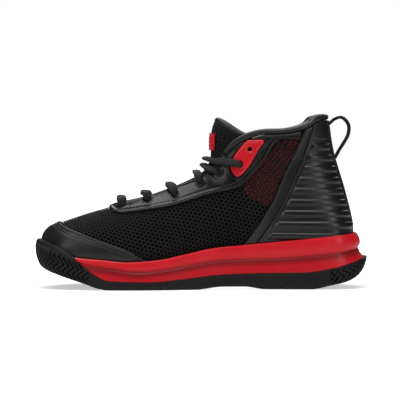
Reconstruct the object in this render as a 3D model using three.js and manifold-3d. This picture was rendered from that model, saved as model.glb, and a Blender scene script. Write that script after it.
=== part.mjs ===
// Basketball high top, right shoe, US men's 9 (EU 42.5).
// Millimetres. +X runs to the heel, -Y is the inner (medial) side, +Y the outer (lateral) side, +Z is up.
// The origin is on the ground, under the centre of the shoe's box.
//
// The upper hangs on one smooth surface, surface(u, v): u runs round the shoe (0 toe, 15 heel, 30 toe
// again, medial side first) and v climbs from the feather edge (0) to the throat and collar edge (1).
// That surface is the outer face of the mesh. Every other layer is a shell at its own offset from it.
import * as THREE from 'three';
import { mergeVertices } from 'three/addons/utils/BufferGeometryUtils.js';
import Module from 'manifold-3d';

const wasm = await Module();
wasm.setup();

// ---------------------------------------------------------------- driving dimensions

const SOLE_LENGTH = 300; // outsole, toe to heel
const BALL_WIDTH = 108; // outsole, across the ball of the foot
const COLLAR_HEIGHT = 157; // ground to the highest point of the collar

const GAP = 0.3; // between pieces that touch
const MESH_THICKNESS = 1.5;
const OVERLAY_THICKNESS = 1.2; // toe cap, eyestays, heel panels
const BACKSTAY_THICKNESS = 1.5;
const RIB_HEIGHT = 1.1;
const RIB_WIDTH = 6;
const RIB_PITCH = 10;
const REINFORCEMENT_THICKNESS = 1; // toe puff, heel counter, red underlays
const LINING_THICKNESS = 0.8;
const COLLAR_FOAM_THICKNESS = 5.5;
const BOARD_THICKNESS = 1.5;
const SOCKLINER_THICKNESS = 4;
const COVER_THICKNESS = 0.8;
const SHANK_THICKNESS = 1.6;
const SHANK_WIDTH = 28;

const OUTSOLE_THICKNESS = 5;
const OUTSOLE_WALL = 6;
const TREAD_DEPTH = 2.5;
const TREAD_GROOVE = 2.4;
const TREAD_PITCH = 12;

const TONGUE_FACE = 1.2;
const TONGUE_PADDING = 5;
const TONGUE_BACK = 1;
const BINDING_WIDTH = 4;
const LABEL_THICKNESS = 0.7;

const LACE_DIAMETER = 3.6;
const LACE_LENGTH = 1100;
const EYELET_CLEARANCE = 2; // eyelet hole over lace
const EYELET_DIAMETER = LACE_DIAMETER + EYELET_CLEARANCE;
const AGLET_CRIMP = 0.4; // how much thinner than the lace its tip is
const AGLET_DIAMETER = LACE_DIAMETER - AGLET_CRIMP;
const AGLET_LENGTH = 20;

const LOOP_WIDTH = 12;
const LOOP_THICKNESS = 1.4;

// ---------------------------------------------------------------- the last

// The tables below are drawn on a last of this size. fit() stretches them to the driving dimensions.
// Only the height above the midsole's rim follows the collar, so the sole keeps its thickness.
const LAST = { length: 300, width: 108, height: 157, sole: 50 };
const STRETCH_X = SOLE_LENGTH / LAST.length;
const STRETCH_Y = BALL_WIDTH / LAST.width;
const STRETCH_Z = (COLLAR_HEIGHT - LAST.sole) / (LAST.height - LAST.sole);

const fitHeight = (z) => (z > LAST.sole ? LAST.sole + (z - LAST.sole) * STRETCH_Z : z);
const fit = (x, y, z) => new THREE.Vector3(x * STRETCH_X, y * STRETCH_Y, fitHeight(z));
const fitLine = (points) => points.map(([x, z]) => [x * STRETCH_X, fitHeight(z)]);

// One row for each station from toe to heel. Each level is [x, y medial, y lateral, z]:
// feather edge, fullest line just above the rim, lower side, upper side, top edge.
const STATIONS = [
  [[-139, -5, -5, 22], [-144.2, -5, -5, 38], [-137.5, -4, -4, 53.5],
    [-108, -1, -1, 65], [-81.2, 0, 0, 72.8]],
  [[-134, -19, 11, 21], [-139, -23, 14, 37], [-130.5, -20, 12, 53.5],
    [-103.5, -10, 8, 65], [-79.9, -6, 6, 73.5]],
  [[-122, -32.5, 23.5, 18.5], [-126, -38, 28.5, 34], [-117, -34, 26, 51],
    [-95.5, -21, 18, 64.5], [-76, -11, 11, 75]],
  [[-100, -39, 34.5, 15], [-102, -45, 40, 31], [-96.5, -41.5, 37.5, 48],
    [-82.5, -31, 29, 63.5], [-65, -17, 17, 77.4]],
  [[-72, -42.5, 42, 13.3], [-72, -48.5, 48, 29], [-70, -45, 45, 47],
    [-61, -36, 36.5, 65], [-46.7, -20, 20, 82]],
  [[-40, -40.5, 42, 14.3], [-40, -46.5, 47.7, 31], [-38, -43, 46, 51],
    [-32, -35, 36.5, 72], [-24, -21, 21, 90.2]],
  [[-9, -33, 38.5, 17.6], [-8, -39, 44.5, 36], [-7, -39.5, 43, 57],
    [-5, -34, 36, 79], [-4, -22, 22, 98.4]],
  [[18, -27, 33, 20.5], [20, -33, 39, 40], [20, -36, 39.5, 63],
    [17, -33, 35, 87], [9.8, -24, 24, 107.7]],
  [[43, -25, 30, 22.7], [46, -31, 36, 42.5], [43, -34, 37, 70],
    [33, -33.5, 35, 98], [18.8, -27, 27, 122]],
  [[65, -26, 28.5, 24.3], [69, -32, 34.5, 45], [64, -33, 34.5, 76],
    [52, -33, 34, 106], [30, -30, 30, 134.2]],
  [[86, -27.5, 28, 25.2], [90, -33.5, 34, 47], [83, -32, 32, 79],
    [70, -31, 31.5, 111], [50, -32, 32, 142]],
  [[103, -26.5, 26.5, 25.7], [108, -32.5, 32.5, 48.5], [100, -29, 29, 81],
    [87, -28.5, 28.5, 114], [75, -32, 32, 143.4]],
  [[116.5, -24, 24, 26], [122, -29, 29, 49.5], [113.5, -24.5, 24.5, 82],
    [101, -24.5, 24.5, 117], [93, -28.5, 28.5, 148]],
  [[125, -17, 17, 26], [131, -20.5, 20.5, 50], [123, -17, 17, 83.5],
    [111.5, -17.5, 17.5, 120], [102, -23.5, 23.5, 154.7]],
  [[129, -9, 9, 26], [135, -10.5, 10.5, 50], [127.8, -8.5, 8.5, 84],
    [116.3, -9.5, 9.5, 121.5], [108.5, -14, 14, 156.8]],
  [[130.5, 0, 0, 26], [136, 0, 0, 50], [129.3, 0, 0, 84.5],
    [118.3, 0, 0, 122], [113, 0, 0, 156.5]],
];
const LEVELS = [0, 0.2, 0.45, 0.72, 1]; // v of the five levels
const HEEL = STATIONS.length - 1; // u at the heel
const RING = 2 * HEEL; // u once round

// Side-view lines, [x, z].
const RIM_LINE = fitLine([[-150, 45.5], [-147, 43.8], [-133, 39.5], [-125, 36.5], [-117.5, 32], [-112.7, 28.8],
  [-88, 26.6], [-67, 24.7], [-38, 26.6], [-16, 31.1], [13, 37], [39, 39.4], [93, 44.6], [139, 49.3], [150, 50]]);
const NOTCH_LINE = fitLine([[-150, 39], [-138, 33], [-120, 27], [-103, 22.2], [-80, 19], [-56, 16], [-30, 18.6],
  [17, 25.9], [71, 28], [98, 30], [123, 32.7], [150, 37.5]]);
const SKIRT_LINE = fitLine([[-150, 34], [-135, 25], [-118, 17.5], [-103, 12], [-83, 8.2], [-47, 7], [-17, 9.3],
  [13, 12.6], [39, 13.8], [93, 14.8], [117, 18.4], [135, 23.2], [150, 29]]);
const UNDERSIDE_LINE = fitLine([[-150, 28.6], [-147.5, 23.5], [-142.5, 18.8], [-126.6, 12.8], [-103, 5.2],
  [-90.3, 1], [-83, 0], [-5, 0], [18, 2.3], [38, 2.3], [57, 0], [98, 0], [114.8, 3.2], [129, 6.3],
  [138.2, 10.4], [146, 17.8], [150, 26]]);
const RUBBER_LINE = fitLine([[-112.7, 28], [-103, 19.1], [-91.7, 11.5], [-83.4, 8.2], [-66.7, 7.3], [-46.7, 7],
  [-16.8, 9.3], [13.2, 12.6], [39, 13.8], [92.6, 14.8], [116.9, 18.4], [135.2, 23.2], [160, 33]]);
const CAP_LINE = fitLine([[-131.2, 60.5], [-123.9, 55.4], [-108.5, 49.9], [-78.8, 39.5], [-66.9, 35.2],
  [-57.6, 30.4], [-44.9, 23]]);
const EYESTAY_LINE = fitLine([[-85, 74.5], [-79.8, 69.3], [-72, 67.8], [-51.3, 70.3], [-25, 75.1], [5, 84.6],
  [27.7, 90.2], [35.3, 93.9], [46.5, 105], [55.7, 116.1], [62.5, 127.5], [67.6, 133.5], [88.2, 133.5]]);
const PATCH_LINE = fitLine([[40.8, 132.8], [55.7, 132.8], [51.1, 124.4], [41.8, 108.7], [32.5, 99.9],
  [26.5, 105.9], [27, 114.3], [30.7, 120.7], [36.2, 128.2]]);
const WINDOW_LINE = fitLine([[64.9, 132.1], [88.5, 132.1], [74, 103], [62.2, 75.8], [54.9, 75.8],
  [37.7, 90.3]]);
const PANEL_LINE = fitLine([[88.5, 133.2], [82, 118.7], [73.9, 102.5], [63.4, 78.2], [51.2, 57.9], [39, 40.9],
  [30, 27]]);
const PANEL_INNER_LINE = fitLine([[95.5, 133.2], [89, 114], [81.5, 97.5], [71, 74.5], [59.5, 55], [47, 38],
  [39, 27]]);
const TONGUE_LINE = fitLine([[-84, 66.5], [-76, 69.5], [-65, 74], [-46.7, 82], [-33, 88], [-19.5, 93.5],
  [-10, 97.8], [-1, 102.8], [4.8, 109], [8, 118.5], [8.2, 133], [9.6, 143.5], [13.2, 153.6]]);
const LOOP_LINE = fitLine([[119.4, 151.3], [125.3, 153.6], [129.6, 151.8], [132.8, 147.6], [133.6, 143],
  [132.5, 137], [128.6, 130], [124.9, 124.2]]);
const LOOP_ROOTS = fitLine([[115.4, 147.4], [118.6, 150.6], [124.5, 123.4], [120.9, 116.8]]);

const EYELETS = fitLine([[-70.3, 73], [-46.7, 78.1], [-22.9, 84.2], [-0.5, 94.9], [15.4, 104.6],
  [34, 111.2]]);
const SPARE_EYELET = fitLine([[43.1, 124.8]])[0];
const BAR_CROWNS = [0.08, 0.255, 0.42, 0.615, 0.67, 0.73]; // share of the tongue's length at each bar

// ---------------------------------------------------------------- numbers and curves

const lerp = (a, b, t) => a + (b - a) * t;
const smooth = (a, b, x) => THREE.MathUtils.smoothstep(x, a, b);
const mirror = (u) => (u > HEEL ? RING - u : u); // medial twin of a ring position

// Monotone cubic through the points, flat beyond both ends.
function heightLine(points) {
  const n = points.length;
  const slope = [];
  for (let i = 0; i < n - 1; i++) {
    slope.push((points[i + 1][1] - points[i][1]) / (points[i + 1][0] - points[i][0]));
  }
  const tangent = points.map((_, i) => {
    if (i === 0) return slope[0];
    if (i === n - 1) return slope[n - 2];
    if (slope[i - 1] * slope[i] <= 0) return 0;
    return (2 * slope[i - 1] * slope[i]) / (slope[i - 1] + slope[i]);
  });
  return (x) => {
    if (x <= points[0][0]) return points[0][1];
    if (x >= points[n - 1][0]) return points[n - 1][1];
    let i = 0;
    while (x > points[i + 1][0]) i++;
    const width = points[i + 1][0] - points[i][0];
    const t = (x - points[i][0]) / width;
    const a = points[i][1];
    const b = points[i + 1][1];
    if (slope[i] === 0) return a;
    return (1 + 2 * t) * (1 - t) ** 2 * a + t * (1 - t) ** 2 * width * tangent[i]
      + t * t * (3 - 2 * t) * b + t * t * (t - 1) * width * tangent[i + 1];
  };
}

const rimAt = heightLine(RIM_LINE);
const notchAt = heightLine(NOTCH_LINE);
const skirtAt = heightLine(SKIRT_LINE);
const undersideAt = heightLine(UNDERSIDE_LINE);

// Cubic through p1 and p2 with the neighbours' chords as tangents.
function hermite(p0, p1, p2, p3, t0, t1, t2, t3, t) {
  const width = t2 - t1;
  const s = (t - t1) / width;
  const m1 = p2.clone().sub(p0).multiplyScalar(width / (t2 - t0));
  const m2 = p3.clone().sub(p1).multiplyScalar(width / (t3 - t1));
  return p1.clone().multiplyScalar((1 + 2 * s) * (1 - s) ** 2)
    .addScaledVector(m1, s * (1 - s) ** 2)
    .addScaledVector(p2, s * s * (3 - 2 * s))
    .addScaledVector(m2, s * s * (s - 1));
}

function stationPoint(k, level) {
  const ring = THREE.MathUtils.euclideanModulo(k, RING);
  const [x, medial, lateral, z] = STATIONS[mirror(ring)][level];
  return fit(x, ring > HEEL ? lateral : medial, z);
}

function stationCurve(k, v) {
  const last = LEVELS.length - 1;
  let i = 0;
  while (i < last - 1 && v > LEVELS[i + 1]) i++;
  const before = Math.max(i - 1, 0);
  const after = Math.min(i + 2, last);
  return hermite(stationPoint(k, before), stationPoint(k, i), stationPoint(k, i + 1), stationPoint(k, after),
    LEVELS[before], LEVELS[i], LEVELS[i + 1], LEVELS[after], v);
}

function surface(u, v) {
  const k = Math.floor(u);
  const near = [-1, 0, 1, 2].map((step) => stationCurve(k + step, v));
  return hermite(...near, -1, 0, 1, 2, u - k);
}

function normal(u, v) {
  const step = 0.01;
  const along = surface(u + step, v).sub(surface(u - step, v));
  const up = surface(u, Math.min(v + step, 1)).sub(surface(u, Math.max(v - step, 0)));
  return along.cross(up).normalize();
}

const offset = (u, v, distance) => surface(u, v).addScaledVector(normal(u, v), distance);

// ---------------------------------------------------------------- solids

// How far the cutting prisms reach, clear of the shoe on every side.
const BESIDE = 90;
const BEYOND = 190;
const OVERHEAD = 220;
const UNDERNEATH = -10;

function toSolid(geometry) {
  for (const name of ['normal', 'uv']) geometry.deleteAttribute(name);
  const merged = mergeVertices(geometry, 1e-4);
  const index = merged.index.array;
  const triangles = [];
  for (let i = 0; i < index.length; i += 3) {
    const [a, b, c] = [index[i], index[i + 1], index[i + 2]];
    if (a !== b && b !== c && c !== a) triangles.push(a, b, c);
  }
  return new wasm.Manifold(new wasm.Mesh({
    numProp: 3,
    vertProperties: new Float32Array(merged.attributes.position.array),
    triVerts: new Uint32Array(triangles),
  }));
}

// Closed solid from a list of quads and triangles, turned right side out.
function fromFaces(faces) {
  const corners = [];
  for (const face of faces) {
    for (let i = 1; i + 1 < face.length; i++) corners.push(face[0], face[i], face[i + 1]);
  }
  let volume = 0;
  for (let i = 0; i < corners.length; i += 3) {
    volume += corners[i].dot(corners[i + 1].clone().cross(corners[i + 2]));
  }
  if (volume < 0) corners.reverse();
  return toSolid(new THREE.BufferGeometry().setFromPoints(corners));
}

function gridFaces(grid, flip = false) {
  const faces = [];
  for (let i = 0; i + 1 < grid.length; i++) {
    for (let j = 0; j + 1 < grid[i].length; j++) {
      const face = [grid[i][j], grid[i + 1][j], grid[i + 1][j + 1], grid[i][j + 1]];
      faces.push(flip ? [face[0], face[3], face[2], face[1]] : face);
    }
  }
  return faces;
}

// Solid between two grids of the same size. A ring's last row repeats its first.
function between(outer, inner, ring = false) {
  const faces = [...gridFaces(outer), ...gridFaces(inner, true)];
  const rows = outer.length - 1;
  const ends = outer[0].length - 1;
  for (let i = 0; i < rows; i++) {
    faces.push([outer[i + 1][0], outer[i][0], inner[i][0], inner[i + 1][0]]);
    faces.push([outer[i][ends], outer[i + 1][ends], inner[i + 1][ends], inner[i][ends]]);
  }
  if (!ring) {
    for (let j = 0; j < ends; j++) {
      faces.push([outer[0][j], outer[0][j + 1], inner[0][j + 1], inner[0][j]]);
      faces.push([outer[rows][j + 1], outer[rows][j], inner[rows][j], inner[rows][j + 1]]);
    }
  }
  return fromFaces(faces);
}

// Every layer of the upper stands on the same lattice, two columns to a station, so that the flat facets
// of two layers never cross. A layer covers some of its columns and rows, between two offsets.
const ROWS = [0, 0.14, 0.28, 0.46, 0.64, 0.82, 1];

function layer(inner, outer, { from = 0, to = RING, rows = ROWS, top = topEdge } = {}) {
  const grid = (at) => {
    const lines = [];
    for (let i = 2 * from; i <= 2 * to; i++) {
      const u = i / 2;
      lines.push(rows.map((row) => {
        const v = row * top(u);
        return offset(u, v, typeof at === 'number' ? at : at(u, v));
      }));
    }
    return lines;
  };
  return between(grid(outer), grid(inner), to - from === RING);
}

// Rows across the shoe from the medial edge to the lateral edge, toe to heel.
function ladder(edge, height, steps = 2 * HEEL, across = 2) {
  const grid = [];
  for (let i = 0; i <= steps; i++) {
    const u = (HEEL * i) / steps;
    const medial = edge(u);
    const lateral = edge(RING - u);
    const line = [];
    for (let j = 0; j <= across; j++) {
      const point = medial.clone().lerp(lateral, j / across);
      point.z = height(point);
      line.push(point);
    }
    grid.push(line);
  }
  return grid;
}

// Solid with a ladder for its floor and its lid, and rings of points between them.
function stack(rings) {
  const steps = 2 * HEEL;
  const floor = ladder(rings[0].edge, rings[0].height);
  const lid = ladder(rings[rings.length - 1].edge, rings[rings.length - 1].height);
  const faces = [...gridFaces(floor), ...gridFaces(lid, true)];
  const point = (ring, i) => {
    const p = ring.edge((HEEL * i) / steps);
    p.z = ring.height(p);
    return p;
  };
  for (let level = 0; level + 1 < rings.length; level++) {
    for (let i = 0; i < 2 * steps; i++) {
      const next = (i + 1) % (2 * steps);
      faces.push([point(rings[level], i), point(rings[level + 1], i),
        point(rings[level + 1], next), point(rings[level], next)]);
    }
  }
  return fromFaces(faces);
}

// Side-view outline drawn right across the shoe between y0 and y1.
function prism(points, y0 = -BESIDE, y1 = BESIDE) {
  const shape = new THREE.Shape(points.map(([x, z]) => new THREE.Vector2(x, z)));
  const geometry = new THREE.ExtrudeGeometry(shape, { depth: y1 - y0, bevelEnabled: false, steps: 1 });
  geometry.rotateX(Math.PI / 2);
  geometry.translate(0, y1, 0);
  return toSolid(geometry);
}

function rod(from, to, diameter, sides = 12) {
  const geometry = new THREE.CylinderGeometry(diameter / 2, diameter / 2, from.distanceTo(to), sides);
  const turn = new THREE.Quaternion().setFromUnitVectors(new THREE.Vector3(0, 1, 0),
    to.clone().sub(from).normalize());
  geometry.applyQuaternion(turn);
  const middle = from.clone().lerp(to, 0.5);
  geometry.translate(middle.x, middle.y, middle.z);
  return toSolid(geometry);
}

function tube(points, diameter, steps) {
  const path = new THREE.CatmullRomCurve3(points, false, 'centripetal');
  const sides = 8;
  const section = new THREE.Shape(Array.from({ length: sides }, (_, i) => {
    const angle = (2 * Math.PI * i) / sides;
    return new THREE.Vector2((diameter / 2) * Math.cos(angle), (diameter / 2) * Math.sin(angle));
  }));
  return toSolid(new THREE.ExtrudeGeometry(section, { extrudePath: path, steps, bevelEnabled: false }));
}

const union = (solids) => solids.reduce((all, one) => all.add(one));

// ---------------------------------------------------------------- sole

// Plan outline of the sole: the fullest line of the upper, pushed out level by `reach` millimetres.
const soleEdge = (toe, side, heel) => (u) => {
  const p = surface(u, LEVELS[1]);
  const n = normal(u, LEVELS[1]).setZ(0).normalize();
  const m = mirror(THREE.MathUtils.euclideanModulo(u, RING));
  const reach = lerp(lerp(toe, side, smooth(0, 3, m)), heel, smooth(10.5, 14.5, m));
  return p.addScaledVector(n, reach);
};

const UPPER_CLEARANCE = BACKSTAY_THICKNESS + 2 * GAP; // from the mesh face to the cup's wall
const soleRings = [
  { edge: soleEdge(3, 4.6, 11.5), height: (p) => undersideAt(p.x) },
  { edge: soleEdge(5.4, 5.9, 13.6), height: (p) => undersideAt(p.x) + 3 },
  { edge: soleEdge(5.8, 5.5, 11.4), height: (p) => Math.max(skirtAt(p.x), undersideAt(p.x) + 4) },
  { edge: soleEdge(5.9, 4.4, 7.4), height: (p) => notchAt(p.x) - 2 },
  { edge: soleEdge(5.8, 3.4, 6.2), height: (p) => notchAt(p.x) },
  { edge: soleEdge(5, 4.6, 7.6), height: (p) => lerp(notchAt(p.x), rimAt(p.x), 0.5) },
  { edge: soleEdge(4.3, 4.4, 6), height: (p) => rimAt(p.x) - 1.4 },
  { edge: soleEdge(3.3, 3.6, 4), height: (p) => rimAt(p.x) },
];

function lastPlug() {
  return stack(ROWS.map((row) => ({
    edge: (u) => offset(u, row * topEdge(u), UPPER_CLEARANCE),
    height: (p) => p.z - (row === 0 ? GAP : 0),
  })));
}

const foamCore = (clearance) => {
  const inward = OUTSOLE_WALL + clearance;
  const edge = soleEdge(5.4 - inward, 5.9 - inward, 12 - inward);
  return stack([
    { edge, height: (p) => undersideAt(p.x) + OUTSOLE_THICKNESS + clearance },
    { edge, height: (p) => skirtAt(p.x) + 5 - clearance },
  ]);
};

const shankOutline = (clearance) => {
  const steps = 6;
  const xs = Array.from({ length: steps + 1 }, (_, i) => lerp(-16, 74, i / steps) * STRETCH_X);
  xs[0] -= clearance;
  xs[steps] += clearance;
  const low = OUTSOLE_THICKNESS + 2 * GAP - clearance;
  const high = OUTSOLE_THICKNESS + 2 * GAP + SHANK_THICKNESS + clearance;
  return prism([...xs.map((x) => [x, undersideAt(x) + low]),
    ...xs.reverse().map((x) => [x, undersideAt(x) + high])],
  -SHANK_WIDTH / 2 - clearance, SHANK_WIDTH / 2 + clearance);
};

// Zigzag groove across the sole, opening downwards.
function treadGroove(x) {
  const halfWave = 15;
  const swing = 5;
  const reach = 4;
  const front = [];
  const back = [];
  for (let i = -reach; i <= reach; i++) {
    const y = i * halfWave;
    const bend = i % 2 === 0 ? swing : -swing;
    front.push(new THREE.Vector2(x + bend - TREAD_GROOVE / 2, y));
    back.push(new THREE.Vector2(x + bend + TREAD_GROOVE / 2, y));
  }
  const geometry = new THREE.ExtrudeGeometry(new THREE.Shape([...front, ...back.reverse()]),
    { depth: TREAD_DEPTH + 5, bevelEnabled: false });
  geometry.translate(0, 0, -5);
  return toSolid(geometry);
}

function soleParts() {
  const blank = stack(soleRings);
  const plug = lastPlug();
  const [front] = RUBBER_LINE;
  const rear = RUBBER_LINE[RUBBER_LINE.length - 1];
  const top = LAST.sole + 40;
  const above = prism([...RUBBER_LINE, [rear[0], top], [front[0], top]]);
  const below = prism([[-BEYOND * STRETCH_X, UNDERNEATH], [rear[0], UNDERNEATH],
    ...[...RUBBER_LINE].reverse().map(([x, z]) => [x, z - GAP]),
    [front[0] - GAP, front[1]], [front[0] - GAP, top], [-BEYOND * STRETCH_X, top]]);
  const between = (x0, x1) => prism([[x0, UNDERNEATH], [x1, UNDERNEATH], [x1, top], [x0, top]]);
  const toe = -124 * STRETCH_X;
  const behindToe = between(toe, rear[0]);
  const behindToeClear = between(toe - GAP, rear[0] + 5);

  const midsole = blank.intersect(above).add(foamCore(GAP).intersect(behindToe).intersect(blank))
    .subtract(plug).subtract(shankOutline(GAP));

  const grooves = [];
  for (let x = -76; x <= -10; x += TREAD_PITCH) grooves.push(treadGroove(x * STRETCH_X));
  for (let x = 66; x <= 92; x += TREAD_PITCH) grooves.push(treadGroove(x * STRETCH_X));
  const outsole = blank.intersect(below).subtract(foamCore(0).intersect(behindToeClear)).subtract(plug)
    .subtract(union(grooves));
  return { midsole, outsole, shank: shankOutline(0) };
}

// Flat piece on the foot bed between two heights above the feather edge.
function bedSlab(inset, low, high) {
  const edge = (u) => {
    const p = surface(u, 0);
    const n = normal(u, 0).setZ(0).normalize();
    return p.addScaledVector(n, -inset);
  };
  return stack([
    { edge, height: (p) => bedAt(p.x) + low },
    { edge, height: (p) => bedAt(p.x) + high },
  ]);
}

const bedAt = heightLine(fitLine(STATIONS.map(([feather]) => [feather[0], feather[3]])));

// ---------------------------------------------------------------- upper

const RIM_START = 8; // ring position where the padded rim begins, beside the top eyelet
const RIM_FOOT = 0.955; // v of the rim's lower edge
const RIM_SEAM = 0.003; // share of v left between the rim and what stands under it
const topEdge = (u) => (mirror(u) < RIM_START ? 1 : RIM_FOOT - RIM_SEAM);

// Depth below the mesh face of the collar's foam, and of the lining behind everything.
const window = (u, v) => smooth(7, 7.9, mirror(u)) * smooth(0.3, 0.4, v) * (1 - smooth(0.8, 0.92, v));
const ankle = (u) => smooth(8, 10, mirror(u));
const puffed = (u, v) => (1 - smooth(2.4, 3.4, mirror(u))) * (1 - smooth(0.54, 0.64, v));
const foamDepth = (u, v) => COLLAR_FOAM_THICKNESS * smooth(8.6, 11.2, mirror(u)) * smooth(0.45, 0.75, v);
const backed = (u, v) => Math.max(ankle(u), puffed(u, v), window(u, v));
const liningDepth = (u, v) => MESH_THICKNESS + GAP
  + (REINFORCEMENT_THICKNESS + 2 * GAP) * backed(u, v) + foamDepth(u, v);

const OVERLAY = [GAP, GAP + OVERLAY_THICKNESS];

const sides = { medial: -1, lateral: 1 };
const MIDDLE_STRIP = 0.5; // half of what stays uncut on the middle line, where the two sides meet
const halfOf = (points, side) => (side < 0
  ? prism(points, -BESIDE, -MIDDLE_STRIP)
  : prism(points, MIDDLE_STRIP, BESIDE));
const grown = (points, by) => {
  const sum = points.reduce((total, [x, z]) => [total[0] + x, total[1] + z], [0, 0]);
  const centre = sum.map((c) => c / points.length);
  return points.map(([x, z]) => {
    const length = Math.hypot(x - centre[0], z - centre[1]);
    return [x + ((x - centre[0]) * by) / length, z + ((z - centre[1]) * by) / length];
  });
};

// Nearest surface position to a side-view point, by stepping down a shrinking grid.
function locate([x, z], side) {
  let best = { u: 6, v: 0.9 };
  let reachU = 5.5;
  let reachV = 0.1;
  for (let round = 0; round < 7; round++) {
    const start = { ...best };
    let least = Infinity;
    for (let i = -8; i <= 8; i++) {
      for (let j = -8; j <= 8; j++) {
        const u = start.u + (reachU * i) / 8;
        const v = Math.min(start.v + (reachV * j) / 8, 1);
        const p = surface(side < 0 ? u : RING - u, v);
        const miss = Math.hypot(p.x - x, p.z - z);
        if (miss < least) {
          least = miss;
          best = { u, v };
        }
      }
    }
    reachU /= 3;
    reachV /= 3;
  }
  return { u: side < 0 ? best.u : RING - best.u, v: best.v };
}

const eyeletSpots = Object.fromEntries(Object.entries(sides).map(([name, side]) => [
  name, [...EYELETS, SPARE_EYELET].map((point) => locate(point, side)),
]));

function eyeletPunches(name) {
  return union(eyeletSpots[name].map(({ u, v }) => (
    rod(offset(u, v, -6), offset(u, v, 4), EYELET_DIAMETER, 8))));
}

function upperParts() {
  const punches = { medial: eyeletPunches('medial'), lateral: eyeletPunches('lateral') };
  const punched = (solid) => solid.subtract(punches.medial).subtract(punches.lateral);
  const parts = {};
  parts.mesh = punched(layer(-MESH_THICKNESS, 0));
  parts.lining = punched(layer((u, v) => -liningDepth(u, v) - LINING_THICKNESS, (u, v) => -liningDepth(u, v),
    { rows: ROWS.slice(1) }));

  const skin = layer(...OVERLAY);
  const low = (line) => [...line].map(([x]) => [x, rimAt(x) - 7]);
  const capFoot = fitLine([[-160, 0], [-150, 0], [-130, 0], [-110, 0], [-90, 0], [-70, 0], [-44.9, 0]]);
  parts.cap = skin.intersect(prism([...CAP_LINE, ...low(capFoot).reverse(), [-160 * STRETCH_X, fitHeight(75)],
    [-131.2 * STRETCH_X, fitHeight(75)]]));

  const panelFoot = low(fitLine([[30, 0], [60, 0], [90, 0], [120, 0], [160, 0]]));
  const backstayWidth = 14;
  const behindHeel = (half) => prism([
    [90 * STRETCH_X, 30], [BEYOND, 30], [BEYOND, OVERHEAD], [90 * STRETCH_X, OVERHEAD],
  ], -half, half);
  const backstayBox = behindHeel(backstayWidth / 2);
  const backstayRoom = behindHeel(backstayWidth / 2 + GAP);
  const ribs = [];
  const ribZ = { low: 45, high: 137 };
  for (let z = ribZ.low; z + RIB_WIDTH <= ribZ.high; z += RIB_PITCH) {
    const [z0, z1] = [fitHeight(z), fitHeight(z + RIB_WIDTH)];
    ribs.push(prism([[20, z0], [BEYOND, z0 - 3], [BEYOND, z1 - 3], [20, z1]]));
  }
  const aboveRim = prism([...RIM_LINE.map(([x, z]) => [x, z + 1]), [BEYOND, OVERHEAD], [-BEYOND, OVERHEAD]]);
  const ribSkin = layer(GAP + OVERLAY_THICKNESS / 2, GAP + OVERLAY_THICKNESS + RIB_HEIGHT)
    .intersect(union(ribs)).intersect(aboveRim);
  for (const [name, side] of Object.entries(sides)) {
    const margin = PANEL_INNER_LINE.map(([x, z]) => [x - 1.5 * GAP, z]).reverse();
    const aboveFoot = prism([...panelFoot, [BEYOND, OVERHEAD], [panelFoot[0][0], OVERHEAD]]);
    const behind = (line) => halfOf([[line[0][0], OVERHEAD], ...line, [BEYOND, line[line.length - 1][1]],
      [BEYOND, OVERHEAD]], side).intersect(aboveFoot);
    parts[`tape_${name}`] = skin.intersect(aboveFoot)
      .intersect(halfOf([[PANEL_LINE[0][0], OVERHEAD], ...PANEL_LINE, ...margin,
        [margin[margin.length - 1][0], OVERHEAD]], side));
    parts[`panel_${name}`] = skin.intersect(behind(PANEL_INNER_LINE))
      .add(ribSkin.intersect(behind(PANEL_INNER_LINE.map(([x, z]) => [x + 3, z])))).subtract(backstayRoom);

    const eyestayTop = [[PANEL_LINE[0][0] - GAP, OVERHEAD], [-85 * STRETCH_X, OVERHEAD]];
    parts[`eyestay_${name}`] = punched(skin.intersect(halfOf([...EYESTAY_LINE, ...eyestayTop], side))
      .subtract(prism(grown(PATCH_LINE, GAP))));
    parts[`patch_${name}`] = punched(skin.intersect(halfOf(PATCH_LINE, side)));
    parts[`underlay_${name}`] = layer(-MESH_THICKNESS - GAP - REINFORCEMENT_THICKNESS, -MESH_THICKNESS - GAP)
      .intersect(halfOf(WINDOW_LINE, side));
  }

  const backstay = layer(GAP, GAP + BACKSTAY_THICKNESS).intersect(backstayBox);
  parts.backstay = backstay.add(loopRoots());

  parts.puff = layer(-MESH_THICKNESS - GAP - REINFORCEMENT_THICKNESS, -MESH_THICKNESS - GAP,
    { from: -2.5, to: 2.5, rows: ROWS.slice(1, 4) });
  parts.counter = layer(-MESH_THICKNESS - GAP - REINFORCEMENT_THICKNESS, -MESH_THICKNESS - GAP,
    { from: 11, to: RING - 11, rows: ROWS.slice(1, 4) });
  const foamFace = -MESH_THICKNESS - 2 * GAP - REINFORCEMENT_THICKNESS;
  parts.foam = layer((u, v) => foamFace - foamDepth(u, v), foamFace,
    { from: 9.5, to: RING - 9.5, rows: ROWS.slice(4) });
  parts.rim = collarRim();
  return parts;
}

// Padded roll that closes the collar: it covers every layer below and rounds over at the top.
function collarRim() {
  const rounded = (v) => smooth(0.975, 1, v);
  const outer = (u, v) => GAP + OVERLAY_THICKNESS - 1.6 * rounded(v);
  const inner = (u, v) => -liningDepth(u, v) - LINING_THICKNESS + 1.4 * rounded(v);
  return layer(inner, outer,
    { from: RIM_START, to: RING - RIM_START, rows: [RIM_FOOT, 0.98, 1], top: () => 1 });
}

// ---------------------------------------------------------------- pull loop

function loopCurve() {
  return new THREE.CatmullRomCurve3(LOOP_LINE.map(([x, z]) => new THREE.Vector3(x, 0, z)));
}

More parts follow.
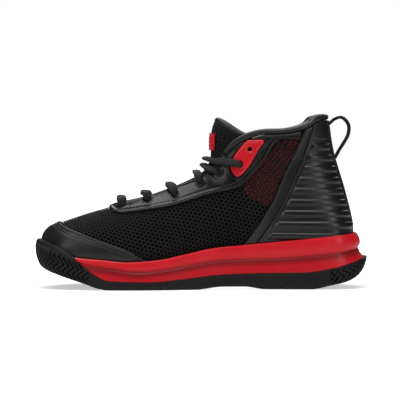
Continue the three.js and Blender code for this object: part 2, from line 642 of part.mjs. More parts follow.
// Strap along a curve in the plane y = 0, rounded at the ends asked for.
function strap(curve, steps, width, roundStart, roundEnd) {
  const length = curve.getLength();
  const outer = [];
  const inner = [];
  for (let i = 0; i <= steps; i++) {
    const t = i / steps;
    const p = curve.getPointAt(t);
    const tangent = curve.getTangentAt(t);
    const out = new THREE.Vector3(-tangent.z, 0, tangent.x);
    const reach = width / 2;
    const ends = [roundStart ? t * length : reach, roundEnd ? (1 - t) * length : reach];
    const cut = Math.max(0, reach - Math.min(...ends));
    const half = Math.max(Math.sqrt(reach * reach - cut * cut), 1);
    const line = (side) => [-half, half].map((y) => p.clone().addScaledVector(out, side).setY(y));
    outer.push(line(LOOP_THICKNESS / 2));
    inner.push(line(-LOOP_THICKNESS / 2));
  }
  return between(outer, inner);
}

const pullLoop = () => strap(loopCurve(), 26, LOOP_WIDTH, true, true);

// The strap's two sewn ends, which stay with the backstay.
function loopRoots() {
  const onMiddle = ([x, z]) => new THREE.Vector3(x, 0, z);
  const root = (a, b) => new THREE.LineCurve3(onMiddle(a), onMiddle(b));
  return strap(root(LOOP_ROOTS[0], LOOP_ROOTS[1]), 5, LOOP_WIDTH, false, true)
    .add(strap(root(LOOP_ROOTS[2], LOOP_ROOTS[3]), 5, LOOP_WIDTH, true, false));
}

// ---------------------------------------------------------------- tongue

const tongueCurve = new THREE.CatmullRomCurve3(TONGUE_LINE.map(([x, z]) => new THREE.Vector3(x, 0, z)));
const tongueHalf = heightLine([[0, 9], [0.12, 15], [0.27, 20.5], [0.5, 22.5], [0.7, 21.5], [0.85, 21],
  [1, 20]]);
const tongueDrop = heightLine([[0, 2], [0.12, 7], [0.27, 15], [0.5, 22], [0.7, 30], [0.85, 37],
  [1, 38]]);
const TONGUE_SWEEP = THREE.MathUtils.degToRad(78);

// Point of the tongue: s climbs from the sewn base to the top, q runs across (-1 to 1), depth goes inwards.
function tonguePoint(s, q, depth) {
  const centre = tongueCurve.getPointAt(Math.min(s, 1));
  const tangent = tongueCurve.getTangentAt(Math.min(s, 1));
  const inward = new THREE.Vector3(tangent.z, 0, -tangent.x);
  const angle = q * TONGUE_SWEEP;
  const half = tongueHalf(s) * STRETCH_Y;
  const drop = tongueDrop(s) * STRETCH_Y;
  const face = centre.addScaledVector(inward, drop * (1 - Math.cos(angle)));
  face.y = half * Math.sin(angle);
  const out = inward.clone().multiplyScalar(-half * Math.cos(angle));
  out.y = drop * Math.sin(angle);
  return face.addScaledVector(out.normalize(), -depth);
}

function tonguePatch(low, high, { s0 = 0, s1 = 1, q = 1, along = 14 } = {}) {
  const across = 6;
  const grid = (depth) => Array.from({ length: along + 1 }, (_, i) => Array.from({ length: across + 1 },
    (_unused, j) => tonguePoint(lerp(s0, s1, i / along), lerp(-q, q, j / across), depth)));
  return between(grid(low), grid(high));
}

function tongueParts() {
  const padStart = TONGUE_FACE + 2 * GAP;
  const backStart = padStart + TONGUE_PADDING + GAP;
  const total = backStart + TONGUE_BACK;
  const length = tongueCurve.getLength();
  const top = 1 - (BINDING_WIDTH + GAP) / length;
  const steps = 14;
  const padded = { s0: top / steps, s1: top, along: steps - 1 };
  return {
    face: tonguePatch(0, TONGUE_FACE, { s1: top, along: steps }),
    padding: tonguePatch(padStart, padStart + TONGUE_PADDING, padded),
    back: tonguePatch(backStart, total, padded),
    binding: tonguePatch(0, total, { s0: 1 - BINDING_WIDTH / length, along: 1 }),
    label: tonguePatch(-2.5 * GAP - LABEL_THICKNESS, -2.5 * GAP, { s0: 0.79, s1: 0.895, q: 0.36, along: 2 }),
  };
}

// ---------------------------------------------------------------- laces

const laceOut = GAP + OVERLAY_THICKNESS + GAP + LACE_DIAMETER / 2; // lace axis above the mesh face
const LACE_SLACK = 1.3; // room that a lace keeps from what it runs along
const laceInside = (u, v, depth) => offset(u, v,
  depth - liningDepth(u, v) - LINING_THICKNESS - GAP - LACE_SLACK - LACE_DIAMETER / 2);

function eyelet(name, row) {
  const { u, v } = eyeletSpots[name][row];
  return { u, v, p: surface(u, v), n: normal(u, v) };
}

// Ring position where the straight line from an eyelet to its bar's crown crosses the throat edge.
function throatCrossing(from, crown) {
  let best = 0;
  let least = Infinity;
  for (let u = 0.5; u < RIM_START - 0.2; u += 0.05) {
    const edge = surface(u, 1);
    const along = THREE.MathUtils.clamp(((edge.x - from.x) * (crown.x - from.x)
      + (edge.z - from.z) * (crown.z - from.z)) / ((crown.x - from.x) ** 2 + (crown.z - from.z) ** 2), 0, 1);
    const miss = Math.hypot(edge.x - lerp(from.x, crown.x, along), edge.z - lerp(from.z, crown.z, along));
    if (miss < least) [least, best] = [miss, u];
  }
  return best;
}

// Out through an eyelet, over the throat edge, across the tongue, and in at the eyelet opposite. A bar
// lies on the chord between the two edges, or on the tongue where that stands higher.
function bar(row, from, to) {
  const s = BAR_CROWNS[row];
  const lift = -5.5 * GAP - LACE_DIAMETER / 2;
  const out = tonguePoint(s, 0, -1).sub(tonguePoint(s, 0, 0));
  const half = (name) => {
    const { p, n } = eyelet(name, row);
    const crossing = throatCrossing(p, tonguePoint(s, 0, 0));
    const edge = offset(name === 'medial' ? crossing : RING - crossing, 1, laceOut + 1.3 * LACE_SLACK);
    const toward = edge.clone().sub(p).normalize();
    const turn = p.clone().addScaledVector(n, laceOut + LACE_SLACK).addScaledVector(toward, 2.6);
    return [p.clone().addScaledVector(n, -1.5), p.clone().addScaledVector(n, 1.4), turn, edge];
  };
  const [start, end] = [half(from), half(to)];
  const span = [0.12, 0.25, 0.38, 0.5, 0.62, 0.75, 0.88].map((share) => {
    const point = start[3].clone().lerp(end[3], share).addScaledVector(out, Math.sin(Math.PI * share));
    const across = THREE.MathUtils.clamp(point.y / (tongueHalf(s) * STRETCH_Y), -0.9, 0.9);
    const q = Math.asin(across) / TONGUE_SWEEP;
    const rise = tonguePoint(s, q, lift).sub(point).dot(out);
    return point.addScaledVector(out, Math.max(rise, 0));
  });
  return [...start, ...span, ...end.reverse()];
}

// Under the eyestay, from one row to a higher one on the same side. A run that passes a row keeps to
// one side of its eyelet: `lane` is the share of the surface's height that it steps aside there.
function climb(name, low, high, lane) {
  const spots = eyeletSpots[name];
  const turn = (row, other) => {
    const toward = eyelet(name, other).p.sub(eyelet(name, row).p).normalize();
    return laceInside(spots[row].u, spots[row].v, -0.5).addScaledVector(toward, 2.4);
  };
  const points = [turn(low, low + 1)];
  for (let row = low; row < high; row++) {
    const [a, b] = [spots[row], spots[row + 1]];
    const aside = high - low > 1 ? lane : 0;
    points.push(laceInside(lerp(a.u, b.u, 0.5), lerp(a.v, b.v, 0.5) + aside / 2, 0));
    if (row + 1 < high) points.push(laceInside(b.u, b.v + aside, 0));
  }
  points.push(turn(high, high - 1));
  return points;
}

const OUTER_LANE = -0.065;
const THROAT_LANE = 0.047;
const TAIL_STEPS = 24;

// In through the last eyelet of an end, to where its tail begins.
function inward(name, row) {
  const { u, v } = eyeletSpots[name][row];
  const turn = laceInside(u, v - 0.02, -0.5);
  const along = laceInside(u, v - 0.06, -1).sub(turn).normalize();
  return [0, 2.5, 5].map((distance) => turn.clone().addScaledVector(along, distance));
}

function laceRoute() {
  const endA = [
    ...climb('medial', 0, 1, 0), ...bar(1, 'medial', 'lateral'),
    ...climb('lateral', 1, 3, THROAT_LANE), ...bar(3, 'lateral', 'medial'),
    ...climb('medial', 3, 5, THROAT_LANE), ...bar(5, 'medial', 'lateral'), ...inward('lateral', 5),
  ];
  const endB = [
    ...climb('lateral', 0, 2, OUTER_LANE), ...bar(2, 'lateral', 'medial'),
    ...climb('medial', 2, 4, OUTER_LANE), ...bar(4, 'medial', 'lateral'), ...inward('lateral', 4),
  ];
  return [...endB.reverse(), ...bar(0, 'lateral', 'medial'), ...endA];
}

// The two loose ends hang inside the shoe, down the lateral lining and along the sock liner. Each is a
// hand-laid list of points after the place where the laced part ends: on the lining (u, v), then on the
// sock liner (x, y).
const TAILS = {
  a: {
    eyelet: 5,
    lining: [[21.4, 0.6], [21.35, 0.5], [21.45, 0.39], [21.7, 0.27]],
    bed: [[42, 20], [50, 10], [62, 1], [74, -4], [84, 0], [85, 8], [77, 12], [64, 13]],
  },
  b: {
    eyelet: 4,
    lining: [[22.9, 0.66], [23.05, 0.5], [23.2, 0.35], [23.3, 0.25]],
    bed: [[6, 22], [-3, 12], [-14, 5], [-28, 2], [-42, 6], [-54, 14], [-62, 24]],
  },
};
const bedTop = BOARD_THICKNESS + GAP + SOCKLINER_THICKNESS + GAP + COVER_THICKNESS;

function tailRoute({ eyelet: row, lining, bed }) {
  const [, before, start] = inward('lateral', row);
  const heading = start.clone().sub(before).normalize();
  const wall = lining.map(([u, v]) => laceInside(u, v, -1));
  const floor = bed.map(([x, y]) => new THREE.Vector3(x * STRETCH_X, y * STRETCH_Y,
    bedAt(x * STRETCH_X) + bedTop + GAP + LACE_SLACK + LACE_DIAMETER / 2));
  const ahead = (distance) => start.clone().addScaledVector(heading, distance);
  return [...[2 * GAP, 3, 6].map(ahead), ...wall, ...floor];
}

// The tail is cut where the lace's whole length is used up, less the tip that closes it.
function tailPieces(spec, laced) {
  const route = tailRoute(spec);
  const curve = new THREE.CatmullRomCurve3(route, false, 'centripetal');
  const wanted = (LACE_LENGTH - laced) / 2;
  const full = curve.getLength();
  const share = Math.min(1, (wanted - AGLET_LENGTH) / full);
  const points = Array.from({ length: TAIL_STEPS + 1 }, (_, i) => curve.getPointAt((share * i) / TAIL_STEPS));
  const end = curve.getPointAt(share);
  const heading = curve.getTangentAt(share);
  return {
    tail: tube(points, LACE_DIAMETER, TAIL_STEPS),
    aglet: rod(end.clone().addScaledVector(heading, 3 * GAP),
      end.clone().addScaledVector(heading, 3 * GAP + AGLET_LENGTH), AGLET_DIAMETER, 8),
    length: share * full,
  };
}

// ---------------------------------------------------------------- assembly

const LOOKS = {
  blackRubber: { color: 0x161617, roughness: 0.75, metalness: 0 },
  redFoam: { color: 0xe0241f, roughness: 0.5, metalness: 0 },
  blackMesh: { color: 0x1b1b1d, roughness: 0.9, metalness: 0 },
  blackLeather: { color: 0x202023, roughness: 0.5, metalness: 0 },
  blackFilm: { color: 0x17171a, roughness: 0.25, metalness: 0 },
  redFilm: { color: 0xe81c26, roughness: 0.35, metalness: 0 },
  redCloth: { color: 0xd01a20, roughness: 0.85, metalness: 0 },
  blackCloth: { color: 0x232326, roughness: 0.9, metalness: 0 },
  greyFoam: { color: 0x5d5d60, roughness: 0.95, metalness: 0 },
  board: { color: 0xcfc9b8, roughness: 0.9, metalness: 0 },
  plate: { color: 0x3a3a3d, roughness: 0.4, metalness: 0 },
  clearTip: { color: 0x2a2a2c, roughness: 0.2, metalness: 0 },
};

const shoe = new THREE.Group();
shoe.name = 'basketball_high_top';

function add(name, solid, look) {
  const { vertProperties, triVerts } = solid.getMesh();
  const geometry = new THREE.BufferGeometry();
  geometry.setAttribute('position', new THREE.BufferAttribute(new Float32Array(vertProperties), 3));
  geometry.setIndex(new THREE.BufferAttribute(new Uint32Array(triVerts), 1));
  geometry.computeVertexNormals();
  const mesh = new THREE.Mesh(geometry, new THREE.MeshStandardMaterial(LOOKS[look]));
  mesh.name = name;
  shoe.add(mesh);
}

const sole = soleParts();
add('outsole', sole.outsole, 'blackRubber');
add('midsole', sole.midsole, 'redFoam');
add('shank_plate', sole.shank, 'plate');
const boardInset = MESH_THICKNESS + GAP;
const sockLow = BOARD_THICKNESS + GAP;
add('strobel_board', bedSlab(boardInset, 0, BOARD_THICKNESS), 'board');
add('sockliner', bedSlab(boardInset + GAP, sockLow, sockLow + SOCKLINER_THICKNESS), 'greyFoam');
add('sockliner_cover', bedSlab(boardInset + GAP, sockLow + SOCKLINER_THICKNESS + GAP,
  sockLow + SOCKLINER_THICKNESS + GAP + COVER_THICKNESS), 'blackCloth');

const upper = upperParts();
add('upper_mesh', upper.mesh, 'blackMesh');
add('toe_cap', upper.cap, 'blackLeather');
add('toe_puff', upper.puff, 'board');
for (const name of Object.keys(sides)) {
  add(`eyestay_${name}`, upper[`eyestay_${name}`], 'blackFilm');
  add(`eyelet_patch_${name}`, upper[`patch_${name}`], 'redFilm');
  add(`mesh_underlay_${name}`, upper[`underlay_${name}`], 'redCloth');
  add(`seam_tape_${name}`, upper[`tape_${name}`], 'blackFilm');
  add(`heel_panel_${name}`, upper[`panel_${name}`], 'blackLeather');
}
add('heel_counter', upper.counter, 'board');
add('backstay', upper.backstay, 'blackLeather');
add('pull_loop', pullLoop(), 'blackCloth');
add('collar_rim', upper.rim, 'blackLeather');
add('collar_foam', upper.foam, 'greyFoam');
add('lining', upper.lining, 'blackCloth');

const tongue = tongueParts();
add('tongue_face', tongue.face, 'blackMesh');
add('tongue_foam', tongue.padding, 'greyFoam');
add('tongue_lining', tongue.back, 'blackCloth');
add('tongue_binding', tongue.binding, 'blackLeather');
add('tongue_label', tongue.label, 'redFilm');

const laced = laceRoute();
const lacedLength = new THREE.CatmullRomCurve3(laced, false, 'centripetal').getLength();
add('lace', tube(laced, LACE_DIAMETER, 130), 'blackCloth');
for (const [name, spec] of Object.entries(TAILS)) {
  const { tail, aglet } = tailPieces(spec, lacedLength);
  add(`lace_tail_${name}`, tail, 'blackCloth');
  add(`aglet_${name}`, aglet, 'clearTip');
}

export default shoe;
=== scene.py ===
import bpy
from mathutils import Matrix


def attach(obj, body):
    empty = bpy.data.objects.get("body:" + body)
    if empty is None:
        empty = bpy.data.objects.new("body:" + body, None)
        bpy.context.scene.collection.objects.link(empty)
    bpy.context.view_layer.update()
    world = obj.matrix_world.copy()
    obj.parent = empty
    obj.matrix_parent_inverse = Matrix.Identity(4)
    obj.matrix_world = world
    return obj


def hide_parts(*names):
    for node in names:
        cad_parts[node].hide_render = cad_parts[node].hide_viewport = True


bl_info = {
    "name": "Basketball High Top",
    "version": (1, 0, 0),
    "blender": (4, 5, 0),
    "location": "View3D > Sidebar > High Top",
    "description": "Dresses the packed high top in its finished upper, sole, laces and collar",
    "category": "Object",
}

import math

import bpy
import numpy as np

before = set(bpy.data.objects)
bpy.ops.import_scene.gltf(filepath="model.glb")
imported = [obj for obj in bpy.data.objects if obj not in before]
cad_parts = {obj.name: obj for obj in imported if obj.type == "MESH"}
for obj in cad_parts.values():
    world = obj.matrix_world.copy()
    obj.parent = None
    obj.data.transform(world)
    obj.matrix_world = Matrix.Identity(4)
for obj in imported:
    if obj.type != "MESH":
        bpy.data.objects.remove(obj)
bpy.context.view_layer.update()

# Lengths below are millimetres, in the frame of the CAD: +X to the heel, -Y the inner side, +Z up.
MM = 0.001
GAP = 0.3               # air between neighbouring parts
MESH = 1.5              # thicknesses of the upper's layers
OVERLAY = 1.2
REINFORCEMENT = 1.0
LINING = 0.8
COLLAR_FOAM = 5.5
KNIT_HOLE = 2.3         # radii of the eyelet holes in each layer
FILM_HOLE = 2.6
PATCH_HOLE = 2.0
RUBBER_TOE = -112.7     # x where the toe's rubber meets the red foam
SLOPE = 0.9             # true distance to a slanting line for each millimetre of height
WALL_LEVEL = 0.2        # height on the upper that the sole's wall is measured from
CELLS_ROUND = 150       # cells of the cloth's table of lengths
CELLS_UP = 60
FRONT_RISE = 150        # millimetres of height for one step of v, near the throat and near the heel
BACK_RISE = 130
FLOOR_HEIGHT = -0.0002

# ------------------------------------------------------------------ the last

# One row for each station from toe to heel. Each level is [x, y medial, y lateral, z].
STATIONS = np.array([
    [[-139, -5, -5, 22], [-144.2, -5, -5, 38], [-137.5, -4, -4, 53.5],
     [-108, -1, -1, 65], [-81.2, 0, 0, 72.8]],
    [[-134, -19, 11, 21], [-139, -23, 14, 37], [-130.5, -20, 12, 53.5],
     [-103.5, -10, 8, 65], [-79.9, -6, 6, 73.5]],
    [[-122, -32.5, 23.5, 18.5], [-126, -38, 28.5, 34], [-117, -34, 26, 51],
     [-95.5, -21, 18, 64.5], [-76, -11, 11, 75]],
    [[-100, -39, 34.5, 15], [-102, -45, 40, 31], [-96.5, -41.5, 37.5, 48],
     [-82.5, -31, 29, 63.5], [-65, -17, 17, 77.4]],
    [[-72, -42.5, 42, 13.3], [-72, -48.5, 48, 29], [-70, -45, 45, 47],
     [-61, -36, 36.5, 65], [-46.7, -20, 20, 82]],
    [[-40, -40.5, 42, 14.3], [-40, -46.5, 47.7, 31], [-38, -43, 46, 51],
     [-32, -35, 36.5, 72], [-24, -21, 21, 90.2]],
    [[-9, -33, 38.5, 17.6], [-8, -39, 44.5, 36], [-7, -39.5, 43, 57],
     [-5, -34, 36, 79], [-4, -22, 22, 98.4]],
    [[18, -27, 33, 20.5], [20, -33, 39, 40], [20, -36, 39.5, 63],
     [17, -33, 35, 87], [9.8, -24, 24, 107.7]],
    [[43, -25, 30, 22.7], [46, -31, 36, 42.5], [43, -34, 37, 70],
     [33, -33.5, 35, 98], [18.8, -27, 27, 122]],
    [[65, -26, 28.5, 24.3], [69, -32, 34.5, 45], [64, -33, 34.5, 76],
     [52, -33, 34, 106], [30, -30, 30, 134.2]],
    [[86, -27.5, 28, 25.2], [90, -33.5, 34, 47], [83, -32, 32, 79],
     [70, -31, 31.5, 111], [50, -32, 32, 142]],
    [[103, -26.5, 26.5, 25.7], [108, -32.5, 32.5, 48.5], [100, -29, 29, 81],
     [87, -28.5, 28.5, 114], [75, -32, 32, 143.4]],
    [[116.5, -24, 24, 26], [122, -29, 29, 49.5], [113.5, -24.5, 24.5, 82],
     [101, -24.5, 24.5, 117], [93, -28.5, 28.5, 148]],
    [[125, -17, 17, 26], [131, -20.5, 20.5, 50], [123, -17, 17, 83.5],
     [111.5, -17.5, 17.5, 120], [102, -23.5, 23.5, 154.7]],
    [[129, -9, 9, 26], [135, -10.5, 10.5, 50], [127.8, -8.5, 8.5, 84],
     [116.3, -9.5, 9.5, 121.5], [108.5, -14, 14, 156.8]],
    [[130.5, 0, 0, 26], [136, 0, 0, 50], [129.3, 0, 0, 84.5],
     [118.3, 0, 0, 122], [113, 0, 0, 156.5]],
])
LEVELS = np.array([0, 0.2, 0.45, 0.72, 1])
HEEL = 15
RING = 30

# Side-view lines, [x, z].
RIM_LINE = [[-150, 45.5], [-147, 43.8], [-133, 39.5], [-125, 36.5], [-117.5, 32], [-112.7, 28.8], [-88, 26.6],
            [-67, 24.7], [-38, 26.6], [-16, 31.1], [13, 37], [39, 39.4], [93, 44.6], [139, 49.3], [150, 50]]
NOTCH_LINE = [[-150, 39], [-138, 33], [-120, 27], [-103, 22.2], [-80, 19], [-56, 16], [-30, 18.6], [17, 25.9],
              [71, 28], [98, 30], [123, 32.7], [150, 37.5]]
SKIRT_LINE = [[-150, 34], [-135, 25], [-118, 17.5], [-103, 12], [-83, 8.2], [-47, 7], [-17, 9.3], [13, 12.6],
              [39, 13.8], [93, 14.8], [117, 18.4], [135, 23.2], [150, 29]]
UNDERSIDE_LINE = [[-150, 28.6], [-147.5, 23.5], [-142.5, 18.8], [-126.6, 12.8], [-103, 5.2], [-90.3, 1],
                  [-83, 0], [-5, 0], [18, 2.3], [38, 2.3], [57, 0], [98, 0], [114.8, 3.2], [129, 6.3],
                  [138.2, 10.4], [146, 17.8], [150, 26]]
RUBBER_LINE = [[-112.7, 28], [-103, 19.1], [-91.7, 11.5], [-83.4, 8.2], [-66.7, 7.3], [-46.7, 7],
               [-16.8, 9.3], [13.2, 12.6], [39, 13.8], [92.6, 14.8], [116.9, 18.4], [135.2, 23.2],
               [160, 33]]
CAP_LINE = [[-131.2, 60.5], [-123.9, 55.4], [-108.5, 49.9], [-78.8, 39.5], [-66.9, 35.2], [-57.6, 30.4],
            [-44.9, 23]]
EYESTAY_LINE = [[-85, 74.5], [-79.8, 69.3], [-72, 67.8], [-51.3, 70.3], [-25, 75.1], [5, 84.6],
                [27.7, 90.2], [35.3, 93.9], [46.5, 105], [55.7, 116.1], [62.5, 127.5], [67.6, 133.5],
                [88.2, 133.5]]
PATCH_LINE = [[40.8, 132.8], [55.7, 132.8], [51.1, 124.4], [41.8, 108.7], [32.5, 99.9], [26.5, 105.9],
              [27, 114.3], [30.7, 120.7], [36.2, 128.2]]
WINDOW_LINE = [[64.9, 132.1], [88.5, 132.1], [74, 103], [62.2, 75.8], [54.9, 75.8], [37.7, 90.3]]
PANEL_LINE = [[88.5, 133.2], [82, 118.7], [73.9, 102.5], [63.4, 78.2], [51.2, 57.9], [39, 40.9], [30, 27]]
PANEL_INNER_LINE = [[95.5, 133.2], [89, 114], [81.5, 97.5], [71, 74.5], [59.5, 55], [47, 38], [39, 27]]
TONGUE_LINE = [[-84, 66.5], [-76, 69.5], [-65, 74], [-46.7, 82], [-33, 88], [-19.5, 93.5], [-10, 97.8],
               [-1, 102.8], [4.8, 109], [8, 118.5], [8.2, 133], [9.6, 143.5], [13.2, 153.6]]
LOOP_LINE = [[119.4, 151.3], [125.3, 153.6], [129.6, 151.8], [132.8, 147.6], [133.6, 143], [132.5, 137],
             [128.6, 130], [124.9, 124.2]]
LOOP_ROOTS = [[[115.4, 147.4], [120.2, 152]], [[125.5, 125.3], [120.9, 116.8]]]
EYELETS = [[-70.3, 73], [-46.7, 78.1], [-22.9, 84.2], [-0.5, 94.9], [15.4, 104.6], [34, 111.2], [43.1, 124.8]]

# The lace's route, eyelet to eyelet, and its two tails inside the shoe.
LACE_ROUTE = [
    [20.7, 24.5, 96.9], [19.8, 23.9, 99.1], [18.9, 23.3, 101.4], [16.1, 26.8, 104.2], [14.8, 29.3, 105],
    [10.7, 32.3, 106.6], [5.6, 28, 107.8], [5.4, 21.3, 108], [5.1, 13.9, 108.1], [3.2, 6.6, 109.6],
    [1.8, -0.1, 110.6], [3.2, -6.8, 109.5], [5.2, -14.2, 108], [5.5, -21.5, 107.8], [5.8, -28.2, 107.5],
    [10.9, -32, 106.3], [14.8, -28.7, 104.9], [16, -26.2, 104.3], [16.1, -21.5, 102], [10.5, -22.4, 94.4],
    [1, -23.5, 87.4], [-9.7, -23.4, 83.3], [-19.3, -22.9, 80.4], [-22.4, -26.7, 82.6], [-23, -28.8, 84.5],
    [-25.1, -30.6, 88.9], [-28.8, -24.4, 92.5], [-28.9, -18.6, 92.9], [-29.1, -12.3, 93.2],
    [-29.2, -5.9, 93.5], [-29.2, -0.1, 93.6], [-29.2, 5.8, 93.5], [-29.1, 12.1, 93.3], [-29, 18.4, 93],
    [-28.9, 24.3, 92.7], [-25.1, 31, 89], [-23, 29.5, 84.5], [-22.4, 27.5, 82.5], [-23.6, 23.8, 78.6],
    [-34.7, 25, 74.6], [-48.7, 25.7, 69.9], [-59.9, 22.5, 68.4], [-66, 18.6, 68.2], [-69.8, 20.5, 71.8],
    [-70.7, 21.9, 74.2], [-72.5, 22.1, 79.2], [-72.8, 16.3, 80.6], [-73, 12.4, 81], [-73.1, 8.2, 81.3],
    [-73.2, 4, 81.5], [-73.2, 0.1, 81.6], [-73.1, -3.8, 81.6], [-73, -8, 81.4], [-72.9, -12.3, 81.1],
    [-72.8, -16.2, 80.7], [-72.4, -22.5, 79.2], [-70.7, -22.5, 74.2], [-69.9, -21.2, 71.8],
    [-66.1, -19.3, 68.1], [-58.1, -20.7, 70.2], [-47.5, -20.7, 73], [-46.4, -23.9, 77.4],
    [-47.2, -25.5, 79.7], [-49.5, -26.8, 84.5], [-51.2, -22.6, 85.3], [-51.4, -17.2, 85.6],
    [-51.5, -11.3, 85.9], [-51.6, -5.4, 86.1], [-51.6, 0, 86.2], [-51.6, 5.4, 86.1], [-51.5, 11.3, 85.9],
    [-51.4, 17.2, 85.6], [-51.2, 22.6, 85.3], [-49.5, 26.9, 84.6], [-47.2, 25.7, 79.7],
    [-46.4, 24.1, 77.4], [-42.8, 21.8, 73.9], [-32.4, 21.8, 78.1], [-20.1, 21.8, 82.4], [-8.7, 21.6, 86.7],
    [-0.7, 21.4, 90.1], [0, 25, 94], [-0.9, 27.2, 95.7], [-2.9, 29.9, 100.1], [-3.5, 26.3, 102.5],
    [-3.7, 19.9, 102.8], [-3.8, 13.1, 103], [-4, 6.2, 103.3], [-4.8, -0.1, 104.4], [-4, -6.5, 103.2],
    [-3.8, -13.3, 102.9], [-3.6, -20.2, 102.6], [-3.4, -26.5, 102.2], [-2.8, -29.9, 99.8],
    [-0.9, -26.7, 95.6], [-0.1, -24.4, 94.1], [3.4, -20.6, 92.8], [9.8, -20.3, 98.5], [16.5, -20.7, 107.1],
    [24.3, -23.6, 109.9], [32.8, -23.5, 109.4], [34.2, -30.4, 111], [33.8, -33.3, 111.4],
    [30.8, -36.5, 112.2], [11.5, -29.9, 114.4], [11.1, -22.7, 114.5], [10.7, -15, 114.6],
    [6.2, -7.2, 115.8], [4, -0.1, 116.4], [6.1, 7.1, 115.8], [10.6, 14.8, 114.7], [10.9, 22.6, 114.6],
    [11.2, 29.7, 114.5], [30.8, 37.2, 112.4], [33.8, 34.1, 111.4], [34.2, 31.2, 110.9], [36.1, 25.2, 108],
    [37.3, 25.4, 105.8], [38.5, 25.6, 103.6],
]
LACE_TAILS = {
    "a": [
        [38.8, 25.6, 103.1], [41.3, 26, 98.6], [45, 26.4, 94.9], [48.7, 26.7, 91.3], [51.5, 26.9, 87],
        [53.5, 26.8, 82.2], [54.9, 26.8, 77.2], [55.5, 26.9, 72], [55.6, 27.2, 66.8], [55, 28, 61.7],
        [53.9, 29, 56.8], [52.4, 29.1, 51.9], [50.1, 28.1, 47.3], [47.5, 26.6, 43.1], [44.8, 24.7, 39],
        [42.5, 22.2, 35.1], [42.6, 18.2, 32.3], [45.8, 14.2, 32.7], [49.4, 10.5, 33.5], [53.3, 7.1, 33.8],
        [57.4, 3.9, 34.1], [61.8, 1.1, 34.4], [66.3, -1.4, 34.7], [71, -3.5, 34.9], [76.1, -3.8, 35.1],
        [81.1, -2.2, 35.3], [84.7, 1.3, 35.5], [85.5, 6.4, 35.5], [82.4, 10.2, 35.4],
    ],
    "b": [
        [21, 24.7, 96.4], [22.9, 26, 91.7], [22, 27.7, 86.9], [20.7, 29.3, 82.2], [19.8, 30.5, 77.2],
        [19, 31.4, 72.2], [18.1, 32.1, 67.1], [16.9, 32.8, 62.1], [15.4, 33.4, 57.2], [13.8, 33.9, 52.2],
        [11.9, 34.6, 47.5], [10.2, 33.6, 42.7], [9.2, 30.9, 38.4], [8.3, 27.7, 34.5], [7.1, 24, 31],
        [4.7, 20.1, 28.8], [1.3, 16.1, 28.5], [-2.4, 12.5, 28.6], [-6.4, 9.3, 28.2], [-10.8, 6.5, 27.7],
        [-15.5, 4.4, 27.1], [-20.4, 2.9, 26.5], [-25.5, 2.1, 25.9], [-30.7, 2.3, 25.4], [-35.7, 3.5, 24.9],
        [-40.5, 5.3, 24.6], [-45.2, 7.6, 24.3], [-49.6, 10.4, 24.1], [-53.6, 13.6, 24],
    ],
}
AGLETS = {"a": [[81.6, 10.6, 35.3], [63.6, 19.3, 34.7]], "b": [[-54.3, 14.2, 24], [-69.2, 27.6, 23.4]]}


# ------------------------------------------------------------------ numbers and curves

def lerp(a, b, t):
    return a + (b - a) * t


def mm(metres):
    return metres * 1000


def smooth(a, b, x):
    """0 below a, 1 above b, and t*t*(3 - 2t) between them."""
    t = np.clip((np.asarray(x, float) - a) / (b - a), 0, 1)
    return t * t * (3 - 2 * t)


def height_line(points):
    """Monotone cubic through [x, z] points, flat beyond both ends: harmonic-mean slopes, Hermite between."""
    p = np.array(points, float)
    dx = np.diff(p[:, 0])
    slope = np.diff(p[:, 1]) / dx
    product = slope[:-1] * slope[1:]
    middle = np.where(product > 0, 2 * product / np.where(product > 0, slope[:-1] + slope[1:], 1), 0)
    tangent = np.concatenate([slope[:1], middle, slope[-1:]])

    def at(x):
        x = np.clip(np.asarray(x, float), p[0, 0], p[-1, 0])
        i = np.clip(np.searchsorted(p[:, 0], x, side="right") - 1, 0, len(p) - 2)
        t = (x - p[i, 0]) / dx[i]
        return ((1 + 2 * t) * (1 - t) ** 2 * p[i, 1] + t * (1 - t) ** 2 * dx[i] * tangent[i]
                + t * t * (3 - 2 * t) * p[i + 1, 1] + t * t * (t - 1) * dx[i] * tangent[i + 1])

    return at


rim_at = height_line(RIM_LINE)
notch_at = height_line(NOTCH_LINE)
skirt_at = height_line(SKIRT_LINE)
underside_at = height_line(UNDERSIDE_LINE)
rubber_at = height_line(RUBBER_LINE)
bed_at = height_line(STATIONS[:, 0][:, [0, 3]])


def hermite(p0, p1, p2, p3, t0, t1, t2, t3, t):
    """Cubic from p1 to p2 whose end tangents are the chords p0-p2 and p1-p3 over their parameter widths."""
    t0, t1, t2, t3, t = (np.asarray(q, float)[..., None] for q in (t0, t1, t2, t3, t))
    width = t2 - t1
    s = (t - t1) / width
    m1 = (p2 - p0) * width / (t2 - t0)
    m2 = (p3 - p1) * width / (t3 - t1)
    return (p1 * (1 + 2 * s) * (1 - s) ** 2 + m1 * s * (1 - s) ** 2
            + p2 * s * s * (3 - 2 * s) + m2 * s * s * (s - 1))


def run_length(p, axis=0):
    """Length along points from their start: running sum of the distances between neighbours."""
    steps = np.linalg.norm(np.diff(p, axis=axis), axis=-1)
    start = np.zeros_like(np.take(steps, [0], axis=axis))
    return np.concatenate([start, np.cumsum(steps, axis=axis)], axis=axis)


def ring_table():
    """Station points once round the shoe, medial side first: (30, 5, 3)."""
    k = np.arange(RING)
    row = STATIONS[np.where(k > HEEL, RING - k, k)]
    y = np.where((k > HEEL)[:, None], row[..., 2], row[..., 1])
    return np.stack([row[..., 0], y, row[..., 3]], axis=-1)


RING_POINTS = ring_table()


